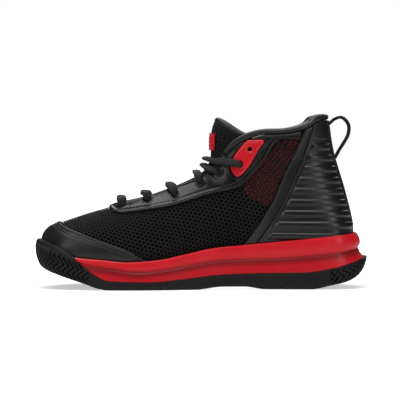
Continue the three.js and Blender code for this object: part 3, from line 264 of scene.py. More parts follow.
def surface(u, v):
    """Outer face of the mesh: Hermite up four stations at height v, then Hermite between them at u."""
    u, v = np.broadcast_arrays(np.asarray(u, float), np.clip(np.asarray(v, float), 0, 1))
    k = np.floor(u).astype(int)
    i = np.clip(np.searchsorted(LEVELS, v, side="left") - 1, 0, 3)
    before, after = np.maximum(i - 1, 0), np.minimum(i + 2, 4)

    def station(step):
        p = RING_POINTS[(k + step) % RING]
        pick = [np.take_along_axis(p, j[..., None, None], axis=-2)[..., 0, :]
                for j in (before, i, i + 1, after)]
        return hermite(*pick, LEVELS[before], LEVELS[i], LEVELS[i + 1], LEVELS[after], v)

    one = np.ones_like(u)
    return hermite(station(-1), station(0), station(1), station(2), -one, 0 * one, one, 2 * one, u - k)


def unit(p):
    return p / np.maximum(np.linalg.norm(p, axis=-1, keepdims=True), 1e-9)


def normal(u, v):
    """Cross product of the surface's steps along u and up v."""
    step = 0.01
    u, v = np.broadcast_arrays(np.asarray(u, float), np.asarray(v, float))
    along = surface(u + step, v) - surface(u - step, v)
    up = surface(u, np.minimum(v + step, 1)) - surface(u, np.maximum(v - step, 0))
    return unit(np.cross(along, up))


def offset(u, v, distance):
    """Surface point moved along its normal."""
    return surface(u, v) + normal(u, v) * np.asarray(distance, float)[..., None]


def mirror(u):
    """Medial twin of a ring position."""
    u = np.mod(np.asarray(u, float), RING)
    return np.where(u > HEEL, RING - u, u)


RIM_START = 8           # ring position where the collar's roll begins
RIM_FOOT = 0.955        # level of the roll's lower edge, and the seam below it
RIM_SEAM = 0.003


def top_edge(u):
    return np.where(mirror(u) < RIM_START, 1.0, RIM_FOOT - RIM_SEAM)


def foam_depth(u, v):
    return COLLAR_FOAM * smooth(8.6, 11.2, mirror(u)) * smooth(0.45, 0.75, v)


def lining_depth(u, v):
    """Depth of the lining below the mesh face: deeper behind the red window, toe puff, counter and foam."""
    m = mirror(u)
    window = smooth(7, 7.9, m) * smooth(0.3, 0.4, v) * (1 - smooth(0.8, 0.92, v))
    puffed = (1 - smooth(2.4, 3.4, m)) * (1 - smooth(0.54, 0.64, v))
    backed = np.maximum(np.maximum(smooth(8, 10, m), puffed), window)
    return MESH + GAP + (REINFORCEMENT + 2 * GAP) * backed + foam_depth(u, v)


def cloth_table():
    """Arc lengths on the surface, from the waist along u and from the feather edge up v, for both sides."""
    tables = []
    v = np.linspace(0, 1, CELLS_UP + 1)
    m = np.linspace(0, HEEL, CELLS_ROUND + 1)
    for u in (m, RING - m):
        p = surface(u[:, None], v[None, :])
        along = run_length(p)
        tables.append(np.stack([along - along[CELLS_ROUND // 2], run_length(p, axis=1)], axis=-1))
    return np.array(tables)


CLOTH = cloth_table()


def cloth_uv(u, v):
    """Lengths along and up the cloth in millimetres, by bilinear look-up in the arc-length table."""
    side = (np.mod(u, RING) > HEEL).astype(int)
    a, b = mirror(u) * (CELLS_ROUND / HEEL), np.clip(v, 0, 1) * CELLS_UP
    i, j = np.clip(a.astype(int), 0, CELLS_ROUND - 1), np.clip(b.astype(int), 0, CELLS_UP - 1)
    f, g = (a - i)[..., None], (b - j)[..., None]
    return (CLOTH[side, i, j] * (1 - f) * (1 - g) + CLOTH[side, i + 1, j] * f * (1 - g)
            + CLOTH[side, i, j + 1] * (1 - f) * g + CLOTH[side, i + 1, j + 1] * f * g)


def resample(points, step):
    """Smooth line through the points (centripetal knots, chord tangents), sampled every `step`."""
    p = np.array(points, float)
    knots = np.concatenate([[0], np.cumsum(np.sqrt(np.linalg.norm(np.diff(p, axis=0), axis=1)))])
    n = len(p)
    t = np.linspace(knots[0], knots[-1], 24 * n)
    i = np.clip(np.searchsorted(knots, t, side="right") - 1, 0, n - 2)
    before, after = np.maximum(i - 1, 0), np.minimum(i + 2, n - 1)
    corners = (before, i, i + 1, after)
    fine = hermite(*(p[k] for k in corners), *(knots[k] for k in corners), t)
    length = run_length(fine)
    at = np.linspace(0, length[-1], max(int(round(length[-1] / step)), 4) + 1)
    return np.stack([np.interp(at, length, fine[:, c]) for c in range(p.shape[1])], axis=1)


def line_distance(x, z, line):
    """Shortest distance from each side-view point to a polyline."""
    a, b = line[:-1], line[1:]
    d = b - a
    best = np.full(x.shape, np.inf)
    for start in range(0, len(a), 40):
        part = slice(start, start + 40)
        px, pz = x[..., None] - a[part, 0], z[..., None] - a[part, 1]
        t = np.clip((px * d[part, 0] + pz * d[part, 1]) / (d[part] ** 2).sum(1), 0, 1)
        gap = np.hypot(px - t * d[part, 0], pz - t * d[part, 1]).min(axis=-1)
        best = np.minimum(best, gap)
    return best


def inside(x, z, polygon):
    """True where a side-view point is in the polygon, by counting the edges that a ray crosses."""
    a, b = polygon, np.roll(polygon, -1, axis=0)
    crosses = np.zeros(x.shape, int)
    for (ax, az), (bx, bz) in zip(a, b):
        if az != bz:
            hit = ((az > z) != (bz > z)) & (x < (bx - ax) * (z - az) / (bz - az) + ax)
            crosses += hit
    return crosses % 2 == 1


def signed(x, z, line, closing):
    """Distance to a side-view line, positive in the region that `closing` completes it to."""
    region = np.concatenate([line, np.array(closing, float)]) if len(closing) else line
    return np.where(inside(x, z, region), 1, -1) * line_distance(x, z, line)


def locate(points, side):
    """Ring position and height under side-view points, by a coarse look-up and six shrinking searches."""
    points = np.asarray(points, float)
    u, v = np.meshgrid(np.linspace(0.2, 14.9, 120), np.linspace(0, 1, 60), indexing="ij")
    turn = (lambda m: m) if side < 0 else (lambda m: RING - m)
    p = surface(turn(u), v).reshape(-1, 3)
    first = ((p[None, :, 0] - points[:, :1]) ** 2 + (p[None, :, 2] - points[:, 1:]) ** 2).argmin(axis=1)
    best = np.stack([u.ravel()[first], v.ravel()[first]], axis=1)
    reach = np.array([0.12, 0.02])
    seven = np.linspace(-1, 1, 7)
    steps = np.stack(np.meshgrid(seven, seven, indexing="ij"), -1).reshape(-1, 2)
    for _ in range(6):
        trial = best[:, None] + steps * reach
        trial[..., 1] = np.clip(trial[..., 1], 0, 1)
        q = surface(turn(trial[..., 0]), trial[..., 1])
        miss = (q[..., 0] - points[:, None, 0]) ** 2 + (q[..., 2] - points[:, None, 1]) ** 2
        best = trial[np.arange(len(points)), miss.argmin(axis=1)]
        reach = reach / 2.6
    return turn(best[:, 0]), best[:, 1]


# ------------------------------------------------------------------ meshes

def grid_tris(nu, nv, ring=False):
    """Triangles of an nu by nv grid of points, row by row, closed on itself in u where ring is true."""
    i, j = np.meshgrid(np.arange(nu if ring else nu - 1), np.arange(nv - 1), indexing="ij")
    a = (i * nv + j).ravel()
    b = (((i + 1) % nu) * nv + j).ravel()
    return np.concatenate([np.stack([a, b, b + 1], 1), np.stack([a, b + 1, a + 1], 1)])


def open_edges(tris, count):
    """Directed edges that only one triangle uses."""
    edges = np.concatenate([tris[:, [0, 1]], tris[:, [1, 2]], tris[:, [2, 0]]])
    key = edges[:, 0].astype(np.int64) * count + edges[:, 1]
    back = edges[:, 1].astype(np.int64) * count + edges[:, 0]
    return edges[~np.isin(key, back)]


def shell(outer, inner, tris, uv):
    """Closed solid: the outer face, the inner face turned over, and a wall round every open edge.

    Like sweep and join, it gives the points, triangles and UV that `put` takes.
    """
    n = len(outer)
    a, b = open_edges(tris, n).T
    walls = np.concatenate([np.stack([a, a + n, b + n], 1), np.stack([a, b + n, b], 1)])
    return (np.concatenate([outer, inner]), np.concatenate([tris, tris[:, ::-1] + n, walls]),
            np.concatenate([uv, uv]))


def cut(fields, tris, level=0.0):
    """Splits triangles where the last column of fields passes level. Returns fields, inside and outside."""
    hair = 1e-6
    d = fields[:, -1] - level
    d = np.where(np.abs(d) < hair, hair, d)
    s = d > 0
    count = s[tris].sum(axis=1)
    mixed = tris[(count == 1) | (count == 2)]
    lone_inside = s[mixed].sum(axis=1) == 1
    lone = np.where(lone_inside[:, None], s[mixed], ~s[mixed]).argmax(axis=1)
    turned = mixed[np.arange(len(mixed))[:, None], (lone[:, None] + np.arange(3)) % 3]
    pairs = np.sort(np.concatenate([turned[:, [0, 1]], turned[:, [0, 2]]]), axis=1)
    unique, where = np.unique(pairs, axis=0, return_inverse=True)
    where = where.ravel() + len(fields)
    a, b = unique.T
    t = (d[a] / (d[a] - d[b]))[:, None]
    new = lerp(fields[a], fields[b], t)
    new[:, -1] = level
    p01, p02 = where[:len(turned)], where[len(turned):]
    tip = np.stack([turned[:, 0], p01, p02], 1)
    base = np.stack([np.stack([p01, turned[:, 1], turned[:, 2]], 1),
                     np.stack([p01, turned[:, 2], p02], 1)], 1)
    kept = np.concatenate([tris[count == 3], tip[lone_inside], base[~lone_inside].reshape(-1, 3)])
    left = np.concatenate([tris[count == 0], tip[~lone_inside], base[lone_inside].reshape(-1, 3)])
    return np.concatenate([fields, new]), kept, left


def compact(fields, tris):
    used, back = np.unique(tris, return_inverse=True)
    return fields[used], back.reshape(tris.shape)


def trimmed(u, v, tris, distance, bands=(0.3, 0.8)):
    """Part of a (u, v) grid where distance is positive, with a row of points at each band from its edge."""
    fields = np.stack([u, v, distance], axis=1)
    fields, tris, _ = cut(fields, tris, 0.0)
    for band in bands:
        fields, near, far = cut(fields, tris, band)
        tris = np.concatenate([near, far])
    fields, tris = compact(fields, tris)
    return fields[:, 0], fields[:, 1], np.maximum(fields[:, 2], 0), tris


def round_over(d, radius):
    """Quarter-circle edge: 0 at the edge, 1 from `radius` inwards."""
    return np.sqrt(np.clip(1 - (1 - np.clip(d / radius, 0, 1)) ** 2, 0, 1))


def outward(points, tris):
    """Triangles turned so that the closed shape's faces look out: its signed volume is then positive."""
    a, b, c = (points[tris[:, k]] - points.mean(axis=0) for k in range(3))
    return tris if np.einsum("ij,ij->", a, np.cross(b, c)) > 0 else tris[:, ::-1]


def put(name, shape, look, body="shoe", sharp=40, replaces=()):
    """New mesh object from (points, triangles, UV) in millimetres, in one of LOOKS, riding on a body."""
    points, tris, uv = shape
    mesh = bpy.data.meshes.new(name)
    points = np.asarray(points, float) * MM
    tris = outward(points, np.asarray(tris))
    mesh.vertices.add(len(points))
    mesh.vertices.foreach_set("co", points.astype(np.float32).ravel())
    mesh.loops.add(tris.size)
    mesh.loops.foreach_set("vertex_index", tris.astype(np.int32).ravel())
    mesh.polygons.add(len(tris))
    mesh.polygons.foreach_set("loop_start", np.arange(0, tris.size, 3, dtype=np.int32))
    mesh.polygons.foreach_set("use_smooth", np.ones(len(tris), bool))
    layer = mesh.uv_layers.new(name="cloth")
    layer.data.foreach_set("uv", np.asarray(uv, np.float32)[tris.ravel()].ravel())
    mesh.update(calc_edges=True)
    mesh.validate()
    mesh.set_sharp_from_angle(angle=math.radians(sharp))
    mesh.materials.append(LOOKS[look])
    piece = bpy.data.objects.new(name, mesh)
    bpy.context.scene.collection.objects.link(piece)
    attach(piece, body)
    if replaces:
        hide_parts(*replaces)
    return piece


def u_grid(u0, u1, nu, v0, v1, nv):
    """Flat arrays of u and v on a grid, u slowest. v0 and v1 may be functions of u."""
    u = np.linspace(u0, u1, nu)
    low = v0(u) if callable(v0) else np.full(nu, v0)
    high = v1(u) if callable(v1) else np.full(nu, v1)
    share = np.linspace(0, 1, nv)
    v = low[:, None] + (high - low)[:, None] * share
    return np.repeat(u, nv), v.ravel()


def layer_piece(name, low, high, look, node, u0, u1, v0, v1, nu, nv):
    """Shell between two offsets from the surface: low is a depth or a function of (u, v)."""
    u, v = u_grid(u0, u1, nu, v0, v1, nv)
    depth = np.broadcast_to(low(u, v) if callable(low) else low, u.shape)
    faces = offset(u, v, np.full(len(u), high)), offset(u, v, depth)
    return put(name, shell(*faces, grid_tris(nu, nv), cloth_uv(u, v)), look, replaces=[node])


def ring_walls(n, m):
    """Triangles between n rings of m points each."""
    i, j = np.meshgrid(np.arange(n - 1), np.arange(m), indexing="ij")
    a, b = (i * m + j).ravel(), (i * m + (j + 1) % m).ravel()
    return np.concatenate([np.stack([a, b, b + m], 1), np.stack([a, b + m, a + m], 1)])


def tube_tris(n, m):
    """Triangles of n rings of m points each and a fan over each end, from the two points that follow them."""
    k = np.arange(m)
    last = (n - 1) * m
    return np.concatenate([ring_walls(n, m), np.stack([np.full(m, n * m), (k + 1) % m, k], 1),
                           np.stack([np.full(m, n * m + 1), last + k, last + (k + 1) % m], 1)])


def sweep(path, out, outline, scale=None):
    """Closed tube: an outline (M, 2) carried along a path, first number sideways, second along `out`."""
    tangent = unit(np.gradient(path, axis=0))
    out = unit(out - (out * tangent).sum(1, keepdims=True) * tangent)
    side = np.cross(tangent, out)
    scale = np.ones((len(path), 2)) if scale is None else scale
    rings = (path[:, None] + side[:, None] * (outline[None, :, :1] * scale[:, None, :1])
             + out[:, None] * (outline[None, :, 1:] * scale[:, None, 1:]))
    points = np.concatenate([rings.reshape(-1, 3), path[:1], path[-1:]])
    lengths = np.broadcast_arrays(run_length(path)[:, None], run_length(outline)[None])
    uv = np.stack(lengths, -1).reshape(-1, 2)
    return points, tube_tris(*rings.shape[:2]), np.concatenate([uv, uv[:1], uv[-1:]])


def join(parts):
    """Several (points, tris, uv) as one."""
    start = np.cumsum([0] + [len(p[0]) for p in parts[:-1]])
    return (np.concatenate([p[0] for p in parts]), np.concatenate([p[1] + s for p, s in zip(parts, start)]),
            np.concatenate([p[2] for p in parts]))


def oval(width, height, sides=12, power=1.0):
    """Superellipse outline, counter-clockwise: signed powers of cosine and sine."""
    a = np.linspace(0, 2 * np.pi, sides, endpoint=False)
    return np.stack([size / 2 * np.sign(c) * np.abs(c) ** power
                     for size, c in ((width, np.cos(a)), (height, np.sin(a)))], 1)


def bell(x, centre, width):
    """Smooth bump: 1 at the centre, falling off both ways as exp(-((x - centre) / width)**2)."""
    return np.exp(-((x - centre) / width) ** 2)


def on_surface(line, side, lift, step=1.2):
    """A side-view line laid on the upper, at `lift` above the mesh face: points and their normals."""
    fine = resample(line, step)
    u, v = locate(fine, side)
    return offset(u, v, np.full(len(u), float(lift))), normal(u, v)


def inset(line, distance):
    """Side-view line moved sideways by a distance, to the left of its run."""
    fine = resample(line, 1.5)
    tangent = unit(np.gradient(fine, axis=0))
    return fine + np.stack([-tangent[:, 1], tangent[:, 0]], 1) * distance


def stitches(name, runs, pitch, thick=0.75):
    """Rows of sewn stitches: a short five-sided bead at every pitch, set along the run and half sunk."""
    length, sides = 2.5, 5
    ring_at = np.array([-0.5, -0.36, 0.0, 0.36, 0.5]) * length
    ring_size = np.array([0.35, 0.85, 1.0, 0.85, 0.35]) * thick / 2
    angle = np.linspace(0, 2 * np.pi, sides, endpoint=False)
    template = np.stack(np.broadcast_arrays(ring_at[:, None], ring_size[:, None] * np.cos(angle),
                                            ring_size[:, None] * np.sin(angle)), -1).reshape(-1, 3)
    faces = np.concatenate([ring_walls(len(ring_at), sides), [[0, 2, 1], [0, 3, 2], [0, 4, 3]],
                            [[20, 21, 22], [20, 22, 23], [20, 23, 24]]])
    made = []
    for path, out in runs:
        along = run_length(path)
        at = np.arange(pitch / 2, along[-1] - pitch / 4, pitch)

        def along_run(values, shift=0.0):
            return np.stack([np.interp(at + shift, along, values[:, c]) for c in range(3)], 1)

        ahead = unit(along_run(path, 0.6) - along_run(path, -0.6))
        side = unit(np.cross(ahead, unit(along_run(out))))
        basis = np.stack([ahead, side, np.cross(side, ahead)], 1)
        points = (along_run(path)[:, None] + np.einsum("kc,ncd->nkd", template, basis)).reshape(-1, 3)
        tris = (faces[None] + len(template) * np.arange(len(at))[:, None, None]).reshape(-1, 3)
        made.append((points, tris[:, ::-1], np.zeros((len(points), 2))))
    return put(name, join(made), "thread")


# ------------------------------------------------------------------ materials

class Net:
    """Adds nodes to one tree and wires them. Values are sockets, numbers or tuples."""

    def __init__(self, tree):
        self.tree = tree

    def put(self, socket, value):
        if isinstance(value, bpy.types.NodeSocket):
            self.tree.links.new(value, socket)
        else:
            socket.default_value = value

    def add(self, kind, inputs=(), **settings):
        node = self.tree.nodes.new(kind)
        node.location = (200 * (len(self.tree.nodes) % 12) - 1400, -220 * (len(self.tree.nodes) // 12))
        for key, value in settings.items():
            setattr(node, key, value)
        for key, value in dict(inputs).items():
            self.put(node.inputs[key], value)
        return node

    def math(self, operation, a, b=0.0, clamp=False):
        return self.add("ShaderNodeMath", {0: a, 1: b}, operation=operation, use_clamp=clamp).outputs[0]

    def vector(self, operation, a, b=(0.0, 0.0, 0.0), scale=None):
        inputs = {0: a} if operation in ("FRACTION", "LENGTH", "SCALE") else {0: a, 1: b}
        node = self.add("ShaderNodeVectorMath", inputs, operation=operation)
        if scale is not None:
            self.put(node.inputs["Scale"], scale)
        return node.outputs["Value" if operation == "LENGTH" else "Vector"]

    def ramp(self, value, low, high, to_low=0.0, to_high=1.0):
        ends = {"Value": value, "From Min": low, "From Max": high, "To Min": to_low, "To Max": to_high}
        return self.add("ShaderNodeMapRange", ends, interpolation_type="SMOOTHSTEP").outputs[0]

    def mix(self, factor, a, b):
        node = self.add("ShaderNodeMix", data_type="RGBA")
        for socket, value in zip((node.inputs[0], node.inputs[6], node.inputs[7]), (factor, a, b)):
            self.put(socket, value)
        return node.outputs[2]

    def noise(self, at, scale, detail=2.0):
        return self.add("ShaderNodeTexNoise", {"Vector": at, "Scale": scale, "Detail": detail}).outputs["Fac"]

    def group(self, tree, **values):
        node = self.add("ShaderNodeGroup")
        node.node_tree = tree
        for key, value in values.items():
            self.put(node.inputs[key], value)
        return node


def new_group(name, inputs, outputs):
    """Shader group with named sockets: inputs map a name to its default, a number or a 3-tuple."""
    tree = bpy.data.node_groups.new(name, "ShaderNodeTree")
    for key, value in inputs.items():
        kind = "NodeSocketVector" if isinstance(value, tuple) else "NodeSocketFloat"
        socket = tree.interface.new_socket(key, in_out="INPUT", socket_type=kind)
        if not isinstance(value, tuple):
            socket.default_value = value
    for key in outputs:
        tree.interface.new_socket(key, in_out="OUTPUT", socket_type="NodeSocketFloat")
    net = Net(tree)
    return tree, net, net.add("NodeGroupInput").outputs, net.add("NodeGroupOutput").inputs


def hole_group():
    """Staggered round holes in a knit: distance to the nearer of two lattices half a cell apart."""
    sockets = {"Cloth": (0, 0, 0), "Pitch": 3.8, "Radius": 1.1, "Turn": 0.3, "Stretch": 1.0}
    tree, net, at, out = new_group("knit_holes", sockets, ["Hole", "Height"])
    turned = net.add("ShaderNodeVectorRotate", {"Vector": at["Cloth"], "Angle": at["Turn"]},
                     rotation_type="Z_AXIS").outputs[0]
    tall = net.math("MULTIPLY", at["Pitch"], at["Stretch"])
    cell = net.add("ShaderNodeCombineXYZ", {0: at["Pitch"], 1: tall, 2: 1.0}).outputs[0]
    cell = net.vector("MULTIPLY", cell, (1.0, 1.732, 1.0))

    def to_centre(shift):
        share = net.vector("FRACTION", net.vector("ADD", net.vector("DIVIDE", turned, cell), shift))
        gap = net.vector("MULTIPLY", net.vector("SUBTRACT", share, (0.5, 0.5, 0.0)), cell)
        return net.vector("LENGTH", net.vector("MULTIPLY", gap, (1.0, 1.0, 0.0)))

    near = net.math("MINIMUM", to_centre((100.0, 100.0, 0.0)), to_centre((100.5, 100.5, 0.0)))
    net.put(out["Hole"], net.ramp(near, at["Radius"], net.math("SUBTRACT", at["Radius"], 0.25)))
    net.put(out["Height"], net.ramp(near, net.math("SUBTRACT", at["Radius"], 0.2),
                                    net.math("ADD", at["Radius"], 0.75)))
    return tree


def weave_group():
    """Over-and-under yarns: product of two sines across the cloth, broken up by a fine noise."""
    sockets = {"Cloth": (0, 0, 0), "Pitch": 1.0, "Fuzz": 0.3}
    tree, net, at, out = new_group("yarn_weave", sockets, ["Height", "Shade"])
    wave = net.vector("SCALE", at["Cloth"], scale=net.math("DIVIDE", 6.2832, at["Pitch"]))
    split = net.add("ShaderNodeSeparateXYZ", {0: wave}).outputs
    yarn = net.math("MULTIPLY", net.math("SINE", split[0]), net.math("SINE", split[1]))
    fuzz = net.math("MULTIPLY", net.noise(at["Cloth"], 2.5, 3.0), at["Fuzz"])
    height = net.math("ADD", net.math("MULTIPLY", yarn, 0.5), fuzz)
    net.put(out["Height"], height)
    net.put(out["Shade"], net.ramp(height, -0.5, 0.8))
    return tree


def grain_group():
    """Leather or moulded grain: cells of a smooth Voronoi with a finer noise on them."""
    tree, net, at, out = new_group("pebble_grain", {"Place": (0, 0, 0), "Size": 1.2}, ["Height", "Pores"])
    scale = net.math("DIVIDE", 1.0, at["Size"])
    cells = net.add("ShaderNodeTexVoronoi", {"Vector": at["Place"], "Scale": scale, "Smoothness": 0.6},
                    feature="SMOOTH_F1").outputs["Distance"]
    fine = net.noise(at["Place"], net.math("MULTIPLY", scale, 2.5), 3.0)
    domes = net.math("MULTIPLY", cells, -0.7)
    net.put(out["Height"], net.math("ADD", domes, net.math("MULTIPLY", fine, 0.4)))
    net.put(out["Pores"], net.ramp(cells, 0.2, 0.75))
    return tree


def handling_group():
    """Handling marks: slow patches of scuffed sheen, and dust that gathers low on the shoe."""
    sockets = {"Place": (0, 0, 0), "Patch": 24.0, "Dust Height": 30.0}
    tree, net, at, out = new_group("handling_marks", sockets, ["Scuff", "Dust"])
    patches = net.noise(at["Place"], net.math("DIVIDE", 1.0, at["Patch"]), 4.0)
    net.put(out["Scuff"], net.ramp(patches, 0.42, 0.68))
    height = net.add("ShaderNodeSeparateXYZ", {0: at["Place"]}).outputs[2]
    low = net.ramp(height, at["Dust Height"], 0.0)
    net.put(out["Dust"], net.math("MULTIPLY", low, net.ramp(net.noise(at["Place"], 0.35, 5.0), 0.45, 0.75)))
    return tree


def finish(name, colour, second, roughness, *, spread=0.12, grain=0.0, grain_size=1.2, weave=0.0,
           weave_pitch=1.0, fuzz=0.3, holes=None, dust=0.0, dust_height=25.0, strength=0.4, depth=0.4,
           coat=0.0, sheen=0.0, gloss=0.5, see_through=False, painted_notch_shade=None):
    """Material of one finish: two near colours mixed by the surface's own pattern, with bump from the same.

    grain and weave are heights in millimetres. holes is (pitch, radius, turn, stretch): millimetres for the
    first two, radians, and a ratio. painted_notch_shade is the share of the colour kept in a band of painted
    shade that lies just below 0 in the UV's height, under the midsole's notch.
    """
    material = bpy.data.materials.new(name)
    material.use_nodes = True
    net = Net(material.node_tree)
    shader = material.node_tree.nodes["Principled BSDF"]
    place = net.vector("SCALE", net.add("ShaderNodeTexCoord").outputs["Object"], scale=1000.0)
    cloth = net.add("ShaderNodeUVMap", uv_map="cloth").outputs[0]
    marks = net.group(GROUPS["handling"], **{"Place": place, "Dust Height": dust_height}).outputs
    mask, height = marks["Scuff"], None

    def raise_by(value, amount):
        nonlocal height
        value = net.math("MULTIPLY", value, amount)
        height = value if height is None else net.math("ADD", height, value)

    shade = net.math("MULTIPLY", mask, 0.35)
    if grain:
        cells = net.group(GROUPS["grain"], Place=place, Size=grain_size).outputs
        raise_by(cells["Height"], grain)
        shade = net.math("ADD", shade, net.math("MULTIPLY", cells["Pores"], 0.5), clamp=True)
    if weave:
        yarns = net.group(GROUPS["weave"], Cloth=cloth, Pitch=weave_pitch, Fuzz=fuzz).outputs
        raise_by(yarns["Height"], weave)
        shade = net.math("ADD", shade, net.math("MULTIPLY", yarns["Shade"], 0.6), clamp=True)
    tint = net.mix(shade, (*colour, 1), (*second, 1))
    if holes:
        knit = net.group(GROUPS["holes"], Cloth=cloth, Pitch=holes[0], Radius=holes[1], Turn=holes[2],
                         Stretch=holes[3]).outputs
        raise_by(knit["Height"], 0.9)
        # Each hole is painted dark, at 0.15 of the colour: a painted shade inside the hole. Where see_through
        # is set, the alpha also opens the hole.
        tint = net.mix(knit["Hole"], tint, (*(c * 0.15 for c in colour), 1))
        if see_through:
            net.put(shader.inputs["Alpha"], net.math("SUBTRACT", 1.0, knit["Hole"]))
    # Painted shade: a band just under the notch is mixed towards a darker copy of the colour, darkest a
    # little below the notch and lighter again further down.
    if painted_notch_shade:
        rise = net.add("ShaderNodeSeparateXYZ", {0: cloth}).outputs[1]
        lower = net.math("MULTIPLY", net.ramp(rise, 1.5, -1.5), net.ramp(rise, -8.0, -2.5, 0.3, 1.0))
        tint = net.mix(lower, tint, (*(c * painted_notch_shade for c in colour), 1))
    if dust:
        tint = net.mix(net.math("MULTIPLY", marks["Dust"], dust), tint, (0.32, 0.30, 0.27, 1))
    net.put(shader.inputs["Base Color"], tint)
    worn = net.math("MULTIPLY", net.math("ADD", shade, mask), spread / 2)
    net.put(shader.inputs["Roughness"], net.math("ADD", worn, roughness - spread / 2))
    if height is not None:
        bump = net.add("ShaderNodeBump", {"Strength": strength, "Distance": depth * MM, "Height": height})
        net.put(shader.inputs["Normal"], bump.outputs[0])
    for key, value in {"Specular IOR Level": gloss, "Coat Weight": coat, "Coat Roughness": 0.12,
                       "Sheen Weight": sheen}.items():
        shader.inputs[key].default_value = value
    return material


def times(colour, share):
    return tuple(min(c * share, 1) for c in colour)


GROUPS = {}
LOOKS = {}


def make_looks(colours):
    """Every finish of the shoe, from the colours that the user set."""
    GROUPS.update(holes=hole_group(), weave=weave_group(), grain=grain_group(), handling=handling_group())
    black, red, mesh = tuple(colours.black), tuple(colours.red), tuple(colours.mesh)
    pale = tuple(c * 2.2 + 0.001 for c in black)
    knitted = dict(weave=0.25, weave_pitch=0.9, gloss=0.22, sheen=0.03, strength=0.9)
    LOOKS.update(
        rubber=finish("black_rubber", black, pale, 0.62, grain=0.25, grain_size=0.8, dust=0.06, dust_height=8,
                      gloss=0.3),
        # The midsole's finish has a band of painted shade under its notch.
        midsole=finish("red_midsole_foam", red, times(red, 1.15), 0.4, grain=0.3, grain_size=0.8,
                       strength=0.5, depth=0.45, gloss=0.36, painted_notch_shade=0.4),
        knit=finish("black_knit", times(mesh, 1.1), times(mesh, 3.2), 0.82, holes=(3.8, 1.2, 0.33, 1.0),
                    depth=0.9, see_through=True, **knitted),
        spacer=finish("black_spacer_knit", times(mesh, 1.1), times(mesh, 3), 0.82, holes=(4.6, 1.5, 0.6, 0.8),
                      depth=1.1, **knitted),
        leather=finish("black_synthetic", black, pale, 0.42, grain=0.3, grain_size=0.9, strength=0.35,
                       dust=0.15, dust_height=40),
        panel=finish("black_panel_synthetic", black, pale, 0.36, grain=0.22, grain_size=0.7, strength=0.3),
        film=finish("black_gloss_film", black, pale, 0.28, grain=0.2, grain_size=0.8, strength=0.3, coat=0.06,
                    gloss=0.35, spread=0.16),
        smooth=finish("black_smooth_trim", black, pale, 0.46, weave=0.12, weave_pitch=0.7, strength=0.3,
                      sheen=0.02),
        patch=finish("red_gloss_film", red, times(red, 1.2), 0.3, grain=0.1, grain_size=0.6, strength=0.25,
                     coat=0.3),
        red_cloth=finish("red_backing_cloth", times(red, 1.5), red, 0.7, weave=0.2, weave_pitch=0.8),
        lining=finish("black_lining_cloth", times(black, 0.6), times(black, 1.6), 0.9, weave=0.3,
                      weave_pitch=1.1, gloss=0.08, strength=0.6),
        webbing=finish("black_webbing", black, times(black, 2.6), 0.75, weave=0.4, weave_pitch=1.5, gloss=0.3,
                       sheen=0.05, strength=0.7, fuzz=0.4),
        lace=finish("black_lace_braid", times(black, 1.6), times(black, 5), 0.78, weave=0.45, weave_pitch=1.3,
                    gloss=0.3, sheen=0.04, strength=0.8, fuzz=0.35),
        thread=finish("black_thread", times(black, 5), times(black, 12), 0.55, grain=0.2, grain_size=0.4),
        tip=finish("dark_aglet_plastic", pale, times(pale, 2), 0.2, grain=0.05, grain_size=0.9, coat=0.5),
        board=finish("fibre_board", (0.55, 0.5, 0.4), (0.45, 0.4, 0.32), 0.9, grain=0.3, grain_size=0.7),
        foam=finish("grey_foam", (0.1, 0.1, 0.105), (0.16, 0.16, 0.17), 0.95, grain=0.4, grain_size=0.8),
        plate=finish("shank_composite", (0.03, 0.03, 0.033), (0.06, 0.06, 0.065), 0.35, weave=0.3,
                     weave_pitch=2.0, coat=0.4),
    )


# ------------------------------------------------------------------ shapes of the pieces

SIDES = {"medial": -1, "lateral": 1}
EYELET_SPOTS = {name: locate(EYELETS, side) for name, side in SIDES.items()}
LACED = 6
TONGUE_SWEEP = math.radians(78)
tongue_half = height_line([[0, 9], [0.12, 15], [0.27, 20.5], [0.5, 22.5], [0.7, 21.5], [0.85, 21], [1, 20]])
tongue_drop = height_line([[0, 2], [0.12, 7], [0.27, 15], [0.5, 22], [0.7, 30], [0.85, 37], [1, 38]])
TONGUE_PATH = resample([[x, 0, z] for x, z in TONGUE_LINE], 0.5)
TONGUE_RUN = run_length(TONGUE_PATH)
TONGUE_LEAN = unit(np.gradient(TONGUE_PATH, axis=0))


def tongue_point(s, q, depth):
    """Point of the tongue: s climbs from its sewn base, q runs across from -1 to 1, depth goes inwards.

    The section is an arc: sin(angle) times the half width across, and (1 - cos(angle)) times the drop behind.
    """
    at = np.clip(s, 0, 1) * TONGUE_RUN[-1]
    centre = np.stack([np.interp(at, TONGUE_RUN, TONGUE_PATH[:, c]) for c in range(3)], -1)
    lean = unit(np.stack([np.interp(at, TONGUE_RUN, TONGUE_LEAN[:, c]) for c in range(3)], -1))
    inward = np.stack([lean[..., 2], 0 * lean[..., 0], -lean[..., 0]], -1)
    angle = q * TONGUE_SWEEP
    half, drop = tongue_half(s), tongue_drop(s)
    face = centre + inward * (drop * (1 - np.cos(angle)))[..., None]
    face[..., 1] = half * np.sin(angle)
    out = inward * (-half * np.cos(angle))[..., None]
    out[..., 1] = drop * np.sin(angle)
    return face - unit(out) * np.asarray(depth)[..., None]


def side_grid(side, m0, m1, v0, v1, step):
    """Dense (u, v) grid over one side of the upper, its side-view places, and its triangles."""
    nu, nv = int((m1 - m0) / step), int((v1 - v0) / (step * 0.1)) + 2
    u, v = u_grid(m0, m1, nu, v0, v1, nv)
    if side > 0:
        u = RING - u
    p = surface(u, v)
    tris = grid_tris(nu, nv)
    return u, v, p[:, 0], p[:, 2], tris[:, ::-1] if side > 0 else tris


